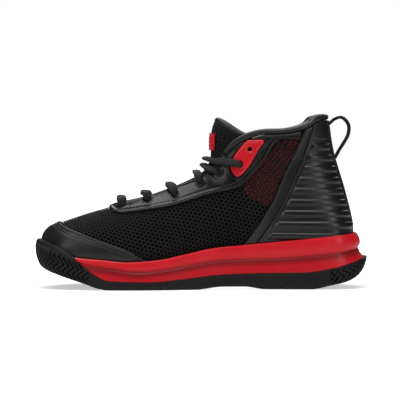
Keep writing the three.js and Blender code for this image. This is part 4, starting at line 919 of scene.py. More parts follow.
def to_throat(u, v):
    """Length on the cloth from a place up to the throat and collar edge."""
    return cloth_uv(u, np.ones_like(u))[:, 1] - cloth_uv(u, v)[:, 1]


def punched(name, u, v, distance, radius, spare=True):
    """Distance field with the eyelet holes of one side taken out, the topmost one only if `spare` is set."""
    p = surface(u, v)
    for eu, ev in list(zip(*EYELET_SPOTS[name]))[:None if spare else LACED]:
        distance = np.minimum(distance, np.linalg.norm(p - surface(eu, ev), axis=1) - radius)
    return distance


def whole_grid(nu, nv, v0, radius, spare, bands):
    """Grid right round the upper, from v0 to its top, with the eyelet holes of both sides cut out."""
    u, v = u_grid(0, RING * (nu - 1) / nu, nu, v0, top_edge, nv)
    holes = np.full(len(u), 9.0)
    for name in SIDES:
        holes = punched(name, u, v, holes, radius, spare)
    u, v, _, tris = trimmed(u, v, grid_tris(nu, nv, ring=True), holes, bands)
    return u, v, tris


def overlay(name, grid, distance, look, node, base=GAP, thick=OVERLAY, edge=0.9, profile=(), raised=None):
    """Film or leather laid on the mesh: the trimmed grid at `base`, rounded over at its edge.

    profile holds bumps that follow the edge: height, distance from it, width. raised(u, v) adds a height.
    """
    u, v, _, _, tris = grid
    u, v, d, tris = trimmed(u, v, tris, distance)
    height = base + thick * (0.25 + 0.75 * round_over(d, edge))
    for bump, centre, width in profile:
        height = height + bump * bell(d, centre, width)
    if raised is not None:
        height = height + raised(u, v)
    faces = offset(u, v, height), offset(u, v, np.full(len(u), base))
    return put(name, shell(*faces, tris, cloth_uv(u, v)), look, sharp=50, replaces=[node])


# How far each ring of the sole stands out from the upper at toe, side and heel, from underside to rim.
SOLE_REACH = ((3, 4.6, 11.5), (5.4, 5.9, 13.6), (5.8, 5.5, 11.4), (5.9, 4.4, 7.4), (5.8, 3.4, 6.2),
              (5, 4.6, 7.6), (4.3, 4.4, 6), (3.3, 3.6, 4))
SOLE_TOP = len(SOLE_REACH) - 1
TOE_TO_SIDE = (0, 3)
SIDE_TO_HEEL = (10.5, 14.5)


def laid_flat(n):
    """Directions laid flat."""
    return unit(n * [1, 1, 0])


def sole_point(u, t):
    """Wall of the sole: eight rings joined by a Hermite curve up t (0 underside, 7 rim), and its way out."""
    m = mirror(u)
    base = surface(u, np.full_like(u, WALL_LEVEL))
    flat = laid_flat(normal(u, np.full_like(u, WALL_LEVEL)))
    rings = []
    for k, (toe, side, heel) in enumerate(SOLE_REACH):
        reach = lerp(lerp(toe, side, smooth(*TOE_TO_SIDE, m)), heel, smooth(*SIDE_TO_HEEL, m))
        p = base + flat * reach[..., None]
        low, skirt, notch, rim = (line(p[..., 0]) for line in (underside_at, skirt_at, notch_at, rim_at))
        p[..., 2] = (low, low + 3, np.maximum(skirt, low + 4), lerp(skirt, notch, 0.55), notch,
                     lerp(notch, rim, 0.4), lerp(notch, rim, 0.8), rim)[k]
        rings.append(p)
    rings = np.stack(rings, axis=-2)
    i = np.clip(np.floor(t).astype(int), 0, SOLE_TOP - 1)

    def ring(k):
        return np.take_along_axis(rings, np.clip(k, 0, SOLE_TOP)[..., None, None], axis=-2)[..., 0, :]

    before, after = np.maximum(i - 1, 0), np.minimum(i + 2, SOLE_TOP)
    return hermite(ring(before), ring(i), ring(i + 1), ring(after), before, i, i + 1, after, t), flat


def across_sole(medial, lateral, columns):
    """Rows of points from one side to the other, with each point's distance from the nearer side."""
    share = np.linspace(0, 1, columns)
    p = (medial[:, None] * (1 - share[:, None]) + lateral[:, None] * share[:, None]).reshape(-1, 3)
    span = np.linalg.norm(lateral - medial, axis=1)[:, None]
    return p, (np.minimum(share, 1 - share)[None] * span).ravel()


def zigzag(x, period):
    """Triangle wave from 0 to 1."""
    return np.abs(np.mod(x / period, 1) * 2 - 1)


# ------------------------------------------------------------------ settings

def colour_setting(name, description, default):
    return bpy.props.FloatVectorProperty(name=name, description=description, subtype="COLOR", size=3, min=0,
                                         max=1, default=default)


def length_setting(name, description, default, low, high):
    return bpy.props.FloatProperty(name=name, description=description, default=default, min=low, max=high,
                                   unit="LENGTH", precision=4)


class HighTopColours(bpy.types.PropertyGroup):
    """Colours of the shoe's finishes"""
    black: colour_setting("Black", "Leather, film, rubber and laces", (0.0036, 0.0035, 0.0041))
    mesh: colour_setting("Mesh", "Knitted upper and tongue", (0.0036, 0.0035, 0.004))
    red: colour_setting("Red", "Midsole, eyelet patch and backing cloth", (0.66, 0.008, 0.016))
    floor: colour_setting("Floor", "Studio floor", (0.9, 0.9, 0.9))


class HighTopSizes(bpy.types.PropertyGroup):
    """Sizes of the shoe's finishing details"""
    lace_width: length_setting("Lace Width", "Width of the flat lace on the bars", 0.0074, 0.004, 0.009)
    lace_thickness: length_setting("Lace Thickness", "Thickness of the flat lace", 0.0036, 0.0015, 0.0045)
    rib_height: length_setting("Rib Height", "How far the heel panel's ribs stand out", 0.0015, 0.0, 0.003)
    lug_depth: length_setting("Lug Depth", "Depth of the herringbone on the sole's wraps", 0.0019, 0.0, 0.003)
    stitch_pitch: length_setting("Stitch Pitch", "Distance from stitch to stitch", 0.0032, 0.0022, 0.006)


# ------------------------------------------------------------------ operators

class HIGHTOP_OT_stage(bpy.types.Operator):
    """Sets the camera, the studio light and the pale floor, and mixes the finishes"""
    bl_idname = "high_top.stage"
    bl_label = "Stage"

    def execute(self, context):
        scene = context.scene
        make_looks(scene.high_top_colours)
        scene.view_settings.view_transform = "Standard"
        reach, frame_width, aim, rise = 1.9, 0.363, (-0.0014, 0.0785), math.radians(1.6)
        camera_data = bpy.data.cameras.new("camera")
        camera_data.sensor_width = 36
        camera_data.lens = camera_data.sensor_width * reach / frame_width
        camera_data.clip_end = 20
        camera = bpy.data.objects.new("camera", camera_data)
        scene.collection.objects.link(camera)
        camera.location = (aim[0], -reach * math.cos(rise), aim[1] + reach * math.sin(rise))
        camera.rotation_euler = (math.pi / 2 - rise, 0, 0)
        scene.camera = camera

        def lamp(name, place, aim, size, power):
            data = bpy.data.lights.new(name, "AREA")
            data.shape = "RECTANGLE"
            data.size, data.size_y = size
            data.energy = power
            light = bpy.data.objects.new(name, data)
            light.location = place
            direction = np.array(aim) - np.array(place)
            yaw = math.atan2(direction[1], direction[0]) - math.pi / 2
            pitch = math.atan2(math.hypot(direction[0], direction[1]), -direction[2])
            light.rotation_euler = (pitch, 0, yaw)
            scene.collection.objects.link(light)

        lamp("overhead", (-0.1, -0.15, 1.15), (0, 0, 0.05), (1.3, 0.9), 13)
        lamp("front_left", (-0.95, -0.95, 0.75), (-0.05, 0, 0.07), (0.6, 0.8), 3.6)
        lamp("front_right", (0.95, -0.85, 0.55), (0.05, 0, 0.08), (0.35, 0.8), 3)
        lamp("back", (0.2, 1.0, 0.8), (0, 0, 0.1), (1.0, 0.5), 4)
        lamp("below", (0.0, -0.001, -0.7), (0, 0, 0), (1.4, 1.0), 14)

        world = bpy.data.worlds.new("studio")
        world.use_nodes = True
        net = Net(world.node_tree)
        seen = net.add("ShaderNodeLightPath").outputs["Is Camera Ray"]
        sky = world.node_tree.nodes["Background"]
        sky.inputs["Color"].default_value = (1, 1, 1, 1)
        lit = net.add("ShaderNodeMapRange", {"Value": seen, "To Min": 0.06, "To Max": 1.0})
        net.put(sky.inputs["Strength"], lit.outputs[0])
        scene.world = world

        # The floor is a disc with an opening under the tread, so that the underside is lit from below.
        mesh = bpy.data.meshes.new("floor")
        count, radius, margin, tread = 120, 9, 5, (-0.09, 0.103)
        footprint, flat = sole_point(np.linspace(0, RING, count, endpoint=False), np.zeros(count))
        footprint = (footprint - flat * margin)[:, :2] * MM
        footprint[:, 0] = np.clip(footprint[:, 0], *tread)
        rings = np.concatenate([footprint, unit(footprint) * radius])
        k, after = np.arange(count), (np.arange(count) + 1) % count
        quads = np.stack([k, k + count, after + count, after], 1)
        mesh.from_pydata([(x, y, FLOOR_HEIGHT) for x, y in rings.tolist()], [], quads.tolist())
        if mesh.polygons[0].normal.z < 0:
            mesh.flip_normals()
        floor = bpy.data.objects.new("floor", mesh)
        scene.collection.objects.link(floor)
        material = bpy.data.materials.new("pale_floor")
        material.use_nodes = True
        net = Net(material.node_tree)
        shader = material.node_tree.nodes["Principled BSDF"]
        shader.inputs["Base Color"].default_value = (*scene.high_top_colours.floor, 1)
        shader.inputs["Roughness"].default_value = 0.7
        shader.inputs["Emission Color"].default_value = (1, 1, 1, 1)
        seen = net.add("ShaderNodeLightPath").outputs["Is Camera Ray"]
        place = net.vector("MULTIPLY", net.add("ShaderNodeTexCoord").outputs["Object"], (0.8, 1, 0))
        glow = net.ramp(net.vector("LENGTH", place), 0.1, 0.6, 0.5, 1.2)
        net.put(shader.inputs["Emission Strength"], net.math("MULTIPLY", seen, glow))
        under = net.add("ShaderNodeNewGeometry").outputs["Backfacing"]
        net.put(shader.inputs["Alpha"], net.math("SUBTRACT", 1.0, under))
        mesh.materials.append(material)
        return {"FINISHED"}


def lace_out(path):
    """Flat side of a lace: away from the shoe's middle line, smoothed along the lace."""
    height = np.interp(path[:, 0], [-80, -20, 5, 40], [45, 62, 88, 100])
    heart = np.stack([path[:, 0], 0 * path[:, 1], height], 1)
    out = unit(path - heart)
    tangent = unit(np.gradient(path, axis=0))
    out = out - (out * tangent).sum(1, keepdims=True) * tangent
    half = 10
    kernel = np.hanning(2 * half + 1)
    kernel = kernel / kernel.sum()
    padded = np.pad(out, ((half, half), (0, 0)), mode="edge")
    return unit(np.stack([np.convolve(padded[:, c], kernel, "valid") for c in range(3)], 1))


class HIGHTOP_OT_laces(bpy.types.Operator):
    """The lace from eyelet to eyelet, and its two tails with their aglets"""
    bl_idname = "high_top.laces"
    bl_label = "Laces"

    def execute(self, context):
        sizes = context.scene.high_top_sizes
        width, thickness = mm(sizes.lace_width), mm(sizes.lace_thickness)
        braid = oval(1, 1, 16, 0.75)
        path = resample(LACE_ROUTE, 1.0)
        spots = np.concatenate([surface(*EYELET_SPOTS[name]) for name in SIDES])
        near = np.linalg.norm(path[:, None] - spots[None], axis=2).min(axis=1)
        inner = smooth(0, 5, near)
        scale = np.stack([lerp(4.6, width, inner), lerp(3.4, thickness, inner)], 1)
        put("lace_braid", sweep(path, lace_out(path), braid, scale), "lace", replaces=["lace"])
        share = np.array([0, 0.02, 0.05, 0.5, 0.9, 0.97, 1.0])
        size = np.array([2.9, 3.15, 3.1, 3.1, 3.1, 2.7, 1.8])
        for name, route in LACE_TAILS.items():
            path = resample(route, 1.0)
            cord = sweep(path, lace_out(path), braid, np.full((len(path), 2), 3.5))
            tail = put(f"tail_{name}", cord, "lace", replaces=[f"lace_tail_{name}"])
            start, end = np.array(AGLETS[name], float)
            core = lerp(start[None], end[None], share[:, None])
            upward = np.tile([0.0, 0.0, 1.0], (len(core), 1))
            sleeve = sweep(core, upward, oval(1, 1, 20), np.stack([size, size], 1))
            tip = put(f"aglet_tip_{name}", sleeve, "tip", replaces=[f"aglet_{name}"])
        return {"FINISHED"}


class HIGHTOP_OT_midsole(bpy.types.Operator):
    """Red foam midsole: a rounded upper band, the notch line, and a grained lower band that flares out, shown
    with a band of painted shade just under the notch
    """
    bl_idname = "high_top.midsole"
    bl_label = "Midsole"

    def execute(self, context):
        nu, nv = 620, 64
        u, t = u_grid(0, RING * (nu - 1) / nu, nu, 0, SOLE_TOP, nv)
        tris = grid_tris(nu, nv, ring=True)
        p, _ = sole_point(u, t)
        ahead = p[:, 0] - RUBBER_TOE
        rise = (p[:, 2] - rubber_at(p[:, 0])) * SLOPE
        u, t, d, tris = trimmed(u, t, tris, np.minimum(ahead, rise))
        p, flat = sole_point(u, t)
        dz = p[:, 2] - notch_at(p[:, 0])
        groove, bead, flare = -0.6 * bell(dz, 0, 1.1), 0.4 * bell(dz, 2.8, 1.6), 0.3 * bell(dz, -2.6, 1.3)
        edge = 0.7 * (round_over(d, 0.8) - 1)
        outer = p + flat * (groove + bead + flare + edge)[:, None]
        inner = p - flat * 3.5
        inner[:, 2] = np.minimum(inner[:, 2], rim_at(inner[:, 0]) - 0.6)
        uv = np.stack([u * 24, dz], 1)
        put("midsole_wall", shell(outer, inner, tris, uv), "midsole", replaces=["midsole"])
        return {"FINISHED"}


class HIGHTOP_OT_outsole(bpy.types.Operator):
    """Black rubber outsole: the wall that wraps up at toe and heel with its herringbone, and the tread"""
    bl_idname = "high_top.outsole"
    bl_label = "Outsole"

    def execute(self, context):
        sizes = context.scene.high_top_sizes
        toe = np.linspace(-3.4, 3.4, 330, endpoint=False)
        side = np.linspace(3.4, 12, 150, endpoint=False)
        heel = np.linspace(12, 18, 260, endpoint=False)
        ring = np.concatenate([toe, side, heel, RING - side[::-1]])
        nu, nv = len(ring), 74
        u, t = np.repeat(ring, nv), np.tile(np.linspace(0, SOLE_TOP, nv), nu)
        p, _ = sole_point(u, t)
        ahead = p[:, 0] - (RUBBER_TOE + GAP)
        rise = (p[:, 2] - rubber_at(p[:, 0]) + GAP) * SLOPE
        u, t, d, tris = trimmed(u, t, grid_tris(nu, nv, ring=True), -np.minimum(ahead, rise))
        p, flat = sole_point(u, t)
        x, z = p[:, 0], p[:, 2]
        along = cloth_uv(u, np.full_like(u, WALL_LEVEL))[:, 0]
        m = mirror(u)
        toe_zone = smooth(-97, -103, x) * smooth(-1.0, 1.0, rim_at(x) - 6 - z)
        heel_zone = smooth(111, 117, x) * smooth(-0.5, 1.0, skirt_at(x) + 1 - z)
        bar_pitch, chevron_height = 4.3, 11
        chevron = zigzag(z - underside_at(x), chevron_height) * chevron_height / 2
        bars = np.mod((along + np.where(m > 10, 1, -1) * chevron) / bar_pitch, 1)
        cutline = smooth(0.0, 0.12, bars) * smooth(0.36, 0.24, bars)
        lugs = -mm(sizes.lug_depth) * cutline * np.maximum(toe_zone, heel_zone) * smooth(0.6, 2, d)
        ridge = 0.5 * bell(z - rim_at(x), -3.2, 1.0) * smooth(-98, -108, x)
        outer = p + flat * (0.3 + lugs + ridge + 0.5 * (round_over(d, 0.8) - 1))[:, None]
        inner = p - flat * 3.2
        inner[:, 2] = np.maximum(inner[:, 2], 0.4)
        wall = shell(outer, inner, tris, np.stack([along, z], 1))
        put("outsole_wall", wall, "rubber", replaces=["outsole"])

        rows, columns = 340, 120
        m = np.linspace(0.0, HEEL, rows)
        zero = np.zeros(rows)
        p, border = across_sole(sole_point(m, zero)[0], sole_point(RING - m, zero)[0], columns)
        x, y = p[:, 0], p[:, 1]
        bend = lerp(-5, 5, zigzag(y, 30))
        lane_pitch, first_lane = 12, -76
        lane = np.mod((x - bend - first_lane) / lane_pitch, 1) * lane_pitch
        groove = smooth(0.0, 0.5, lane) * smooth(2.6, 2.1, lane)
        zone = np.maximum(smooth(-92, -90, x) * smooth(-2, -4, x), smooth(60, 62, x) * smooth(99, 97, x))
        wave = 0.8 * smooth(0.35, 0.65, zigzag(x + bend, 4)) * (1 - zone)
        p[:, 2] = underside_at(x) + (2.5 * groove * zone + wave) * smooth(0, 3, border)
        p[:, 2] = np.maximum(p[:, 2], 0.0)
        lid = p.copy()
        lid[:, 2] = underside_at(x) + 4.2
        tread = shell(lid, p, grid_tris(rows, columns), p[:, :2])
        put("outsole_tread", tread, "rubber", replaces=["outsole"])
        return {"FINISHED"}


class HIGHTOP_OT_foot_bed(bpy.types.Operator):
    """The sock liner's cover, crowned and quilted with a low dot, over the foam, board and shank"""
    bl_idname = "high_top.foot_bed"
    bl_label = "Foot Bed"

    def execute(self, context):
        def slab(name, low, high, inset_by, look, node, crown=0.0):
            """Sheet on the foot bed between two heights, crowned by a product of two sines in x and y."""
            rows, columns = 150, 40
            m = np.linspace(0, HEEL, rows)
            medial, lateral = (surface(u, 0 * u) - laid_flat(normal(u, 0 * u)) * inset_by
                               for u in (m, RING - m))
            p, rim = across_sole(medial, lateral, columns)
            top, bottom = p.copy(), p.copy()
            dots = np.sin(p[:, 0] / 1.9) * np.sin(p[:, 1] / 1.9)
            top[:, 2] = bed_at(p[:, 0]) + high - 0.5 * (1 - round_over(rim, 2)) + crown * dots
            bottom[:, 2] = bed_at(p[:, 0]) + low
            return put(name, shell(top, bottom, grid_tris(rows, columns), p[:, :2]), look, replaces=[node])

        slab("board_sheet", 0, 1.5, 1.8, "board", "strobel_board")
        slab("liner_foam", 1.8, 5.8, 2.1, "foam", "sockliner")
        slab("liner_cover", 6.1, 6.9, 2.1, "lining", "sockliner_cover", 0.12)
        return {"FINISHED"}


class HIGHTOP_OT_upper(bpy.types.Operator):
    """The knitted upper and what lies inside it: red backing, toe puff, counter, collar foam and lining"""
    bl_idname = "high_top.upper"
    bl_label = "Upper"

    def execute(self, context):
        u, v, tris = whole_grid(420, 80, 0.0, KNIT_HOLE, True, (0.5,))
        faces = offset(u, v, np.zeros(len(u))), offset(u, v, np.full(len(u), -1.1))
        put("upper_knit", shell(*faces, tris, cloth_uv(u, v)), "knit", replaces=["upper_mesh"])

        backing = MESH + GAP
        for name, side in SIDES.items():
            grid = side_grid(side, 6, 13, 0.2, 0.952, 0.06)
            distance = signed(grid[2], grid[3], resample(WINDOW_LINE + WINDOW_LINE[:1], 1.5), [])
            overlay(f"red_backing_{name}", grid, distance, "red_cloth", f"mesh_underlay_{name}",
                    base=-backing - REINFORCEMENT, thick=REINFORCEMENT)
        for name, node, u0, u1 in (("puff_sheet", "toe_puff", -2.5, 2.5),
                                   ("counter_sheet", "heel_counter", 11, 19)):
            layer_piece(name, -backing - 1, -backing, "lining", node, u0, u1, 0.14, 0.46, 80, 16)
        face = -backing - GAP - REINFORCEMENT
        foam = layer_piece("collar_padding", lambda a, b: face - foam_depth(a, b), face, "foam",
                           "collar_foam", 9.5, 20.5, 0.62, top_edge, 110, 20)
        u, v, tris = whole_grid(360, 60, lambda a: 0.14 * top_edge(a), FILM_HOLE, False, ())
        depth = lining_depth(u, v)
        quilt = 0.25 * np.sin(cloth_uv(u, v)[:, 1] / 3.2) * smooth(9.5, 11, mirror(u)) * smooth(0.5, 0.7, v)
        faces = offset(u, v, -depth), offset(u, v, -depth - LINING + quilt)
        put("lining_cloth", shell(*faces, tris, cloth_uv(u, v)), "lining", replaces=["lining"])
        return {"FINISHED"}


class HIGHTOP_OT_toe_cap(bpy.types.Operator):
    """Toe cap with its piped edge and two rows of stitching"""
    bl_idname = "high_top.toe_cap"
    bl_label = "Toe Cap"

    def execute(self, context):
        sizes = context.scene.high_top_sizes
        line = resample([[-150, 66]] + CAP_LINE + [[-38, 17]], 1.2)
        closing = [[-38, -5], [-170, -5], [-170, 66]]
        u, v = u_grid(-6.5, 6.5, 500, 0.05, 0.8, 120)
        p = surface(u, v)
        distance = signed(p[:, 0], p[:, 2], line, closing)
        grid = (u, v, p[:, 0], p[:, 2], grid_tris(500, 120))

        rows = (2.6, 5.0)
        profile = [(0.35, 1.0, 0.6)] + [(-0.4, row, 0.65) for row in rows]
        overlay("toe_cap_leather", grid, distance, "leather", "toe_cap", profile=profile)
        runs = []
        for row in rows:
            for side in SIDES.values():
                shifted = inset([[-137, 62.8]] + CAP_LINE[:-1], -row)
                keep = shifted[:, 1] > rim_at(shifted[:, 0]) + 1.5
                path, out = on_surface(shifted[keep], side, GAP + OVERLAY - 0.1)
                off_middle = np.abs(path[:, 1] + 4) > 2.0
                runs.append((path[off_middle], out[off_middle]))
        stitches("toe_cap_stitches", runs, mm(sizes.stitch_pitch), thick=1.0)
        return {"FINISHED"}


class HIGHTOP_OT_eyestays(bpy.types.Operator):
    """Gloss eyestays and red eyelet patches, with piping, stitching and reinforced eyelets"""
    bl_idname = "high_top.eyestays"
    bl_label = "Eyestays"

    def execute(self, context):
        sizes = context.scene.high_top_sizes
        stay = resample(EYESTAY_LINE, 1.2)
        patch = resample(PATCH_LINE + PATCH_LINE[:1], 1.2)
        for name, side in SIDES.items():
            grid = side_grid(side, 0.2, 12.8, 0.5, 1.0, 0.055)
            u, v, x, z, _ = grid
            zone = signed(x, z, stay, [[88.2, 240], [-85, 240]])
            rim = np.where(mirror(u) < RIM_START, 99, (RIM_FOOT - RIM_SEAM - v) * FRONT_RISE)
            panel = signed(x, z, resample(PANEL_LINE, 1.5), [[-200, 27], [-200, 300], [88.5, 300]])
            panel = np.where(z > 133, 99, panel)
            off_patch = -signed(x, z, patch, []) - GAP
            distance = np.minimum.reduce([zone, to_throat(u, v), rim, panel, off_patch])
            distance = punched(name, u, v, distance, FILM_HOLE)
            overlay(f"eyestay_film_{name}", grid, distance, "film", f"eyestay_{name}",
                    profile=[(0.3, 1.3, 0.7), (-0.22, 3.3, 0.8)])
            distance = np.minimum.reduce([signed(x, z, patch, []), to_throat(u, v), rim])
            distance = punched(name, u, v, distance, PATCH_HOLE)
            overlay(f"patch_film_{name}", grid, distance, "patch", f"eyelet_patch_{name}", edge=1.2,
                    profile=[(0.35, 1.4, 0.7)])
            piping = on_surface(EYESTAY_LINE[1:-1], side, GAP + OVERLAY * 0.7, 1.0)
            put(f"eyestay_piping_{name}", sweep(*piping, oval(1.9, 1.7, 10)), "film")
            run = on_surface(inset(EYESTAY_LINE[1:-1], 3.3), side, GAP + OVERLAY - 0.1)
            stitches(f"eyestay_stitches_{name}", [run], mm(sizes.stitch_pitch))
            ring_radius, turn = 3.0, np.linspace(0, 2 * np.pi, 41)[:, None]
            rings = []
            for centre, out in list(zip(surface(*EYELET_SPOTS[name]), normal(*EYELET_SPOTS[name])))[:LACED]:
                a = unit(np.cross(out, [0.0, 1.0, 0.2]))
                b = np.cross(out, a)
                path = centre + out * (GAP + OVERLAY) + ring_radius * (np.cos(turn) * a + np.sin(turn) * b)
                rings.append(sweep(path, np.tile(out, (len(turn), 1)), oval(1.1, 0.9, 8)))
            put(f"eyelet_rings_{name}", join(rings), "film")
        return {"FINISHED"}


class HIGHTOP_OT_heel(bpy.types.Operator):
    """Ribbed heel panels, their front tapes, the backstay and the pull loop"""
    bl_idname = "high_top.heel"
    bl_label = "Heel"

    def execute(self, context):
        sizes = context.scene.high_top_sizes
        lift = mm(sizes.rib_height)
        front = resample([[102.8, 165]] + PANEL_LINE, 1.2)
        inner = resample([[106.3, 165]] + PANEL_INNER_LINE, 1.2)
        corners = [[260, -20], [260, 165]]

        def ribs(a, b):
            """Level bars 10 apart: a smooth step up and down in height, faded out near the panel's edges."""
            x, y, z = surface(a, b).T
            wave = np.mod((z + 0.018 * (x - 20) - 45) / 10, 1)
            bar = smooth(0.0, 0.16, wave) * smooth(0.66, 0.5, wave)
            soft = 0.8 + 0.2 * np.sin(np.pi * np.clip(wave / 0.6, 0, 1))
            zone = smooth(3, 6.5, signed(x, z, inner, [[39, -20]] + corners)) * smooth(3, 7, np.abs(y) - 7)
            return lift * bar * soft * zone * smooth(43, 46, z) * smooth(136, 133, z)

        for name, side in SIDES.items():
            grid = side_grid(side, 6.2, 14.96, 0.05, 0.953, 0.045)
            u, v, x, z, _ = grid
            p = surface(u, v)
            foot = z - rim_at(x) + 6
            rim = (RIM_FOOT - RIM_SEAM - v) * BACK_RISE
            strip = np.abs(p[:, 1]) - 7.3
            behind = signed(x, z, front, [[30, -20]] + corners)
            within = signed(x, z, inner, [[39, -20]] + corners)
            tape = np.minimum.reduce([behind, -within - 0.3, foot, rim])
            overlay(f"front_tape_{name}", grid, tape, "panel", f"seam_tape_{name}",
                    profile=[(0.25, 1.1, 0.6)])
            panel = np.minimum.reduce([within, foot, rim, strip])
            overlay(f"heel_panel_leather_{name}", grid, panel, "panel", f"heel_panel_{name}", raised=ribs)
            runs = []
            for row in (1.6, 5.0):
                shifted = inset(PANEL_INNER_LINE, row)
                keep = (shifted[:, 1] > rim_at(shifted[:, 0]) + 2) & (shifted[:, 1] < 131)
                runs.append(on_surface(shifted[keep], side, GAP + OVERLAY - 0.05))
            stitches(f"panel_stitches_{name}", runs, mm(sizes.stitch_pitch))

        u, v = u_grid(13, 17, 120, 0.05, 0.952, 110)
        p = surface(u, v)
        foot = p[:, 2] - rim_at(p[:, 0]) + 6
        distance = np.minimum.reduce([7 - np.abs(p[:, 1]), foot, (0.952 - v) * BACK_RISE])
        grid = (u, v, p[:, 0], p[:, 2], grid_tris(120, 110))
        overlay("backstay_tape", grid, distance, "leather", "backstay", thick=1.5,
                profile=[(-0.25, 2.2, 0.7)])
        runs = []
        height = np.linspace(0.24, 0.9, 90)
        for y in (-4.9, 4.9):
            ring = np.full(90, 15.0)
            for _ in range(6):
                ring = ring + (y - surface(ring, height)[:, 1]) / 12
            runs.append((offset(ring, height, np.full(90, GAP + 1.4)), normal(ring, height)))
        stitches("backstay_stitches", runs, mm(sizes.stitch_pitch))

        def strap(name, line, rounded, body, nodes):
            """Webbing swept along a line, each rounded end narrowing as sqrt(half**2 - gap**2)."""
            half, thick, step = 6, 2.2, 0.7
            path = resample([[x, 0, z] for x, z in line], step)
            along = step * np.arange(len(path))
            reach = np.full(len(path), float(half))
            for run, wanted in zip((along, along[-1] - along), rounded):
                if wanted:
                    gap = np.clip(half - run, 0, half)
                    reach = np.minimum(reach, np.maximum(np.sqrt(half ** 2 - gap ** 2), 1.2))
            tangent = unit(np.gradient(path, axis=0))
            out = np.stack([-tangent[:, 2], 0 * along, tangent[:, 0]], 1)
            outline = oval(1, 1, 28, 0.35)
            outline[:, 1] *= 1 + 0.35 * bell(np.abs(outline[:, 0]), 0.44, 0.05)
            shape = sweep(path, out, outline, np.stack([2 * reach, np.full(len(path), thick)], 1))
            return put(name, shape, "webbing", body, replaces=nodes)

        strap("pull_loop_webbing", LOOP_LINE, (True, True), "pull_loop", ["pull_loop"])
        for k, (root, ends) in enumerate(zip(LOOP_ROOTS, ((False, True), (True, False)))):
            line = [lerp(np.array(root[0]), np.array(root[1]), s).tolist() for s in (0, 0.34, 0.67, 1)]
            strap(f"loop_root_{k + 1}", line, ends, "shoe", [])
        return {"FINISHED"}


class HIGHTOP_OT_collar(bpy.types.Operator):
    """Padded roll round the collar"""
    bl_idname = "high_top.collar"
    bl_label = "Collar"

    def execute(self, context):
        n, m = 260, 36
        u = np.linspace(RIM_START, RING - RIM_START, n)
        a = np.linspace(0, 2 * np.pi, m, endpoint=False)
        uu, aa = np.repeat(u, m), np.tile(a, n)
        c, s = np.cos(aa), np.sin(aa)
        across = np.sign(c) * np.abs(c) ** 0.7
        rise = np.sign(s) * np.abs(s) ** 0.8
        v = np.clip(lerp(RIM_FOOT, 1.0, rise / 2 + 0.5), RIM_FOOT, 1.0)
        high = GAP + OVERLAY + 0.1
        low = -lining_depth(uu, np.full_like(uu, 0.97)) - LINING
        end = smooth(RIM_START, RIM_START + 0.12, mirror(uu))
        middle, half = (high + low) / 2, (high - low) / 2 * (0.35 + 0.65 * end)
        points = offset(uu, v, middle + half * across)
        crease = 0.12 * np.sin(cloth_uv(uu, v)[:, 0] * 0.9 + 2.0 * np.sin(uu * 3)) * (c > 0)
        points = points + normal(uu, v) * crease[:, None]
        ends = np.stack([points[:m].mean(axis=0), points[-m:].mean(axis=0)])
        uv = cloth_uv(uu, v)
        shape = np.concatenate([points, ends]), tube_tris(n, m), np.concatenate([uv, uv[:2]])
        roll = put("collar_roll", shape, "smooth", sharp=60, replaces=["collar_rim"])
        return {"FINISHED"}


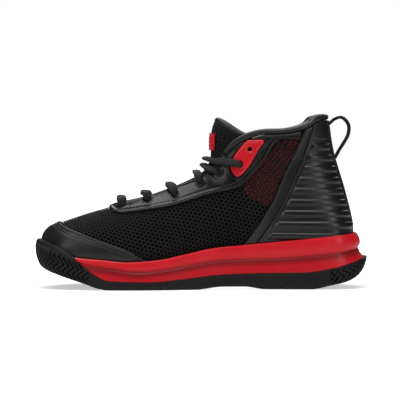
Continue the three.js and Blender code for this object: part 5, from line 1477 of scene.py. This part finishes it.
class HIGHTOP_OT_tongue(bpy.types.Operator):
    """Tongue: spacer knit face, padding, lining, rolled binding and its red label"""
    bl_idname = "high_top.tongue"
    bl_label = "Tongue"

    def execute(self, context):
        top = 1 - 4.3 / TONGUE_RUN[-1]

        def crown(x):
            """Rounded top corners: the height shrinks with the cube of the distance across."""
            return 1 - 0.05 * np.abs(x) ** 3

        def sheet(name, s0, s1, q, depths, look, node, rows=150, columns=70, swell=None):
            """Part of the tongue between two depths. swell(s, x) raises its outer face."""
            s, x = u_grid(s0, s1, rows, -q, q, columns)
            s = s * crown(x)
            low = depths[0] - (np.zeros(len(s)) if swell is None else swell(s, x))
            outer, inner = tongue_point(s, x, low), tongue_point(s, x, np.full(len(s), depths[1]))
            uv = np.stack([x * TONGUE_SWEEP * 21, s * TONGUE_RUN[-1]], 1)
            return put(name, shell(outer, inner, grid_tris(rows, columns)[:, ::-1], uv), look, "tongue",
                       replaces=[node])

        def tube(name, s, q, depth, out_at, outline, size, nodes=()):
            """Sweep along the tongue at one depth, the outline's second number pointing out of its face."""
            one = np.ones(len(q))
            out = unit(tongue_point(out_at, q, -one) - tongue_point(out_at, q, one))
            shape = sweep(tongue_point(s, q, depth * one), out, outline, np.tile(size, (len(q), 1)))
            return put(name, shape, "smooth", "tongue", replaces=nodes)

        def pillow(s, x):
            """Low pillows: a cosine across, growing towards the top."""
            return 0.25 * np.cos(x * np.pi * 2.5) * smooth(0.75, 0.9, s) - 0.15

        sheet("tongue_knit", 0, top, 1, (0.0, 1.2), "spacer", "tongue_face", swell=pillow)
        pad = sheet("tongue_padding", top / 14, top, 1, (1.8, 6.8), "foam", "tongue_foam", 60, 30)
        sheet("tongue_back_cloth", top / 14, top, 1, (7.1, 8.1), "lining", "tongue_lining", 80, 40)

        q = np.linspace(-1, 1, 120)
        roll = tube("tongue_roll", (1 - 2.4 / TONGUE_RUN[-1]) * crown(q), q, 4.05, np.full(120, 0.97),
                    oval(1, 1, 24, 0.9), [6.4, 9.0], ["tongue_binding"])
        s = np.linspace(0.1, 0.985 * crown(1), 140)
        for name, side in SIDES.items():
            edge = np.full(140, 0.985 * side)
            tube(f"tongue_edge_{name}", s, edge, 0.9, s, oval(1, 1, 14, 0.8), [3.6, 2.4])

        def emblem(s, x):
            """Plain frame with chevron bars in it: steps in the larger of the distances from the centre."""
            along, across = (s - 0.8425) / 0.0525, np.abs(x / 0.36)
            reach = np.maximum(np.abs(along), across)
            bars = smooth(0.55, 0.62, zigzag(along * 2 + across, 0.9)) * (reach < 0.7)
            return 0.25 * np.maximum(smooth(0.8, 0.84, reach), bars)

        sheet("tongue_label_film", 0.79, 0.895, 0.36, (-1.45, -0.75), "patch", "tongue_label", 70, 70, emblem)
        return {"FINISHED"}


class HIGHTOP_OT_shank(bpy.types.Operator):
    """The shank, whose CAD shape is right, gets its composite finish"""
    bl_idname = "high_top.shank"
    bl_label = "Shank"

    def execute(self, context):
        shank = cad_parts["shank_plate"]
        shank.data.materials.clear()
        shank.data.materials.append(LOOKS["plate"])
        return {"FINISHED"}


PARTS = (HIGHTOP_OT_stage, HIGHTOP_OT_laces, HIGHTOP_OT_midsole, HIGHTOP_OT_outsole, HIGHTOP_OT_foot_bed,
         HIGHTOP_OT_upper, HIGHTOP_OT_toe_cap, HIGHTOP_OT_eyestays, HIGHTOP_OT_heel, HIGHTOP_OT_collar,
         HIGHTOP_OT_tongue, HIGHTOP_OT_shank)


class HIGHTOP_PT_panel(bpy.types.Panel):
    """Sizes, colours and one button for each group of pieces"""
    bl_idname = "HIGHTOP_PT_panel"
    bl_label = "High Top"
    bl_space_type = "VIEW_3D"
    bl_region_type = "UI"
    bl_category = "High Top"

    def draw(self, context):
        for group in (context.scene.high_top_colours, context.scene.high_top_sizes):
            for key in group.__annotations__:
                self.layout.prop(group, key)
        for part in PARTS:
            self.layout.operator(part.bl_idname)


CLASSES = (HighTopColours, HighTopSizes, *PARTS, HIGHTOP_PT_panel)


def register():
    for cls in CLASSES:
        bpy.utils.register_class(cls)
    bpy.types.Scene.high_top_colours = bpy.props.PointerProperty(type=HighTopColours)
    bpy.types.Scene.high_top_sizes = bpy.props.PointerProperty(type=HighTopSizes)


def unregister():
    del bpy.types.Scene.high_top_sizes
    del bpy.types.Scene.high_top_colours
    for cls in reversed(CLASSES):
        bpy.utils.unregister_class(cls)


def main():
    register()
    for part in PARTS:
        group, action = part.bl_idname.split(".")
        getattr(getattr(bpy.ops, group), action)()


if __name__ == "__main__":
    main()
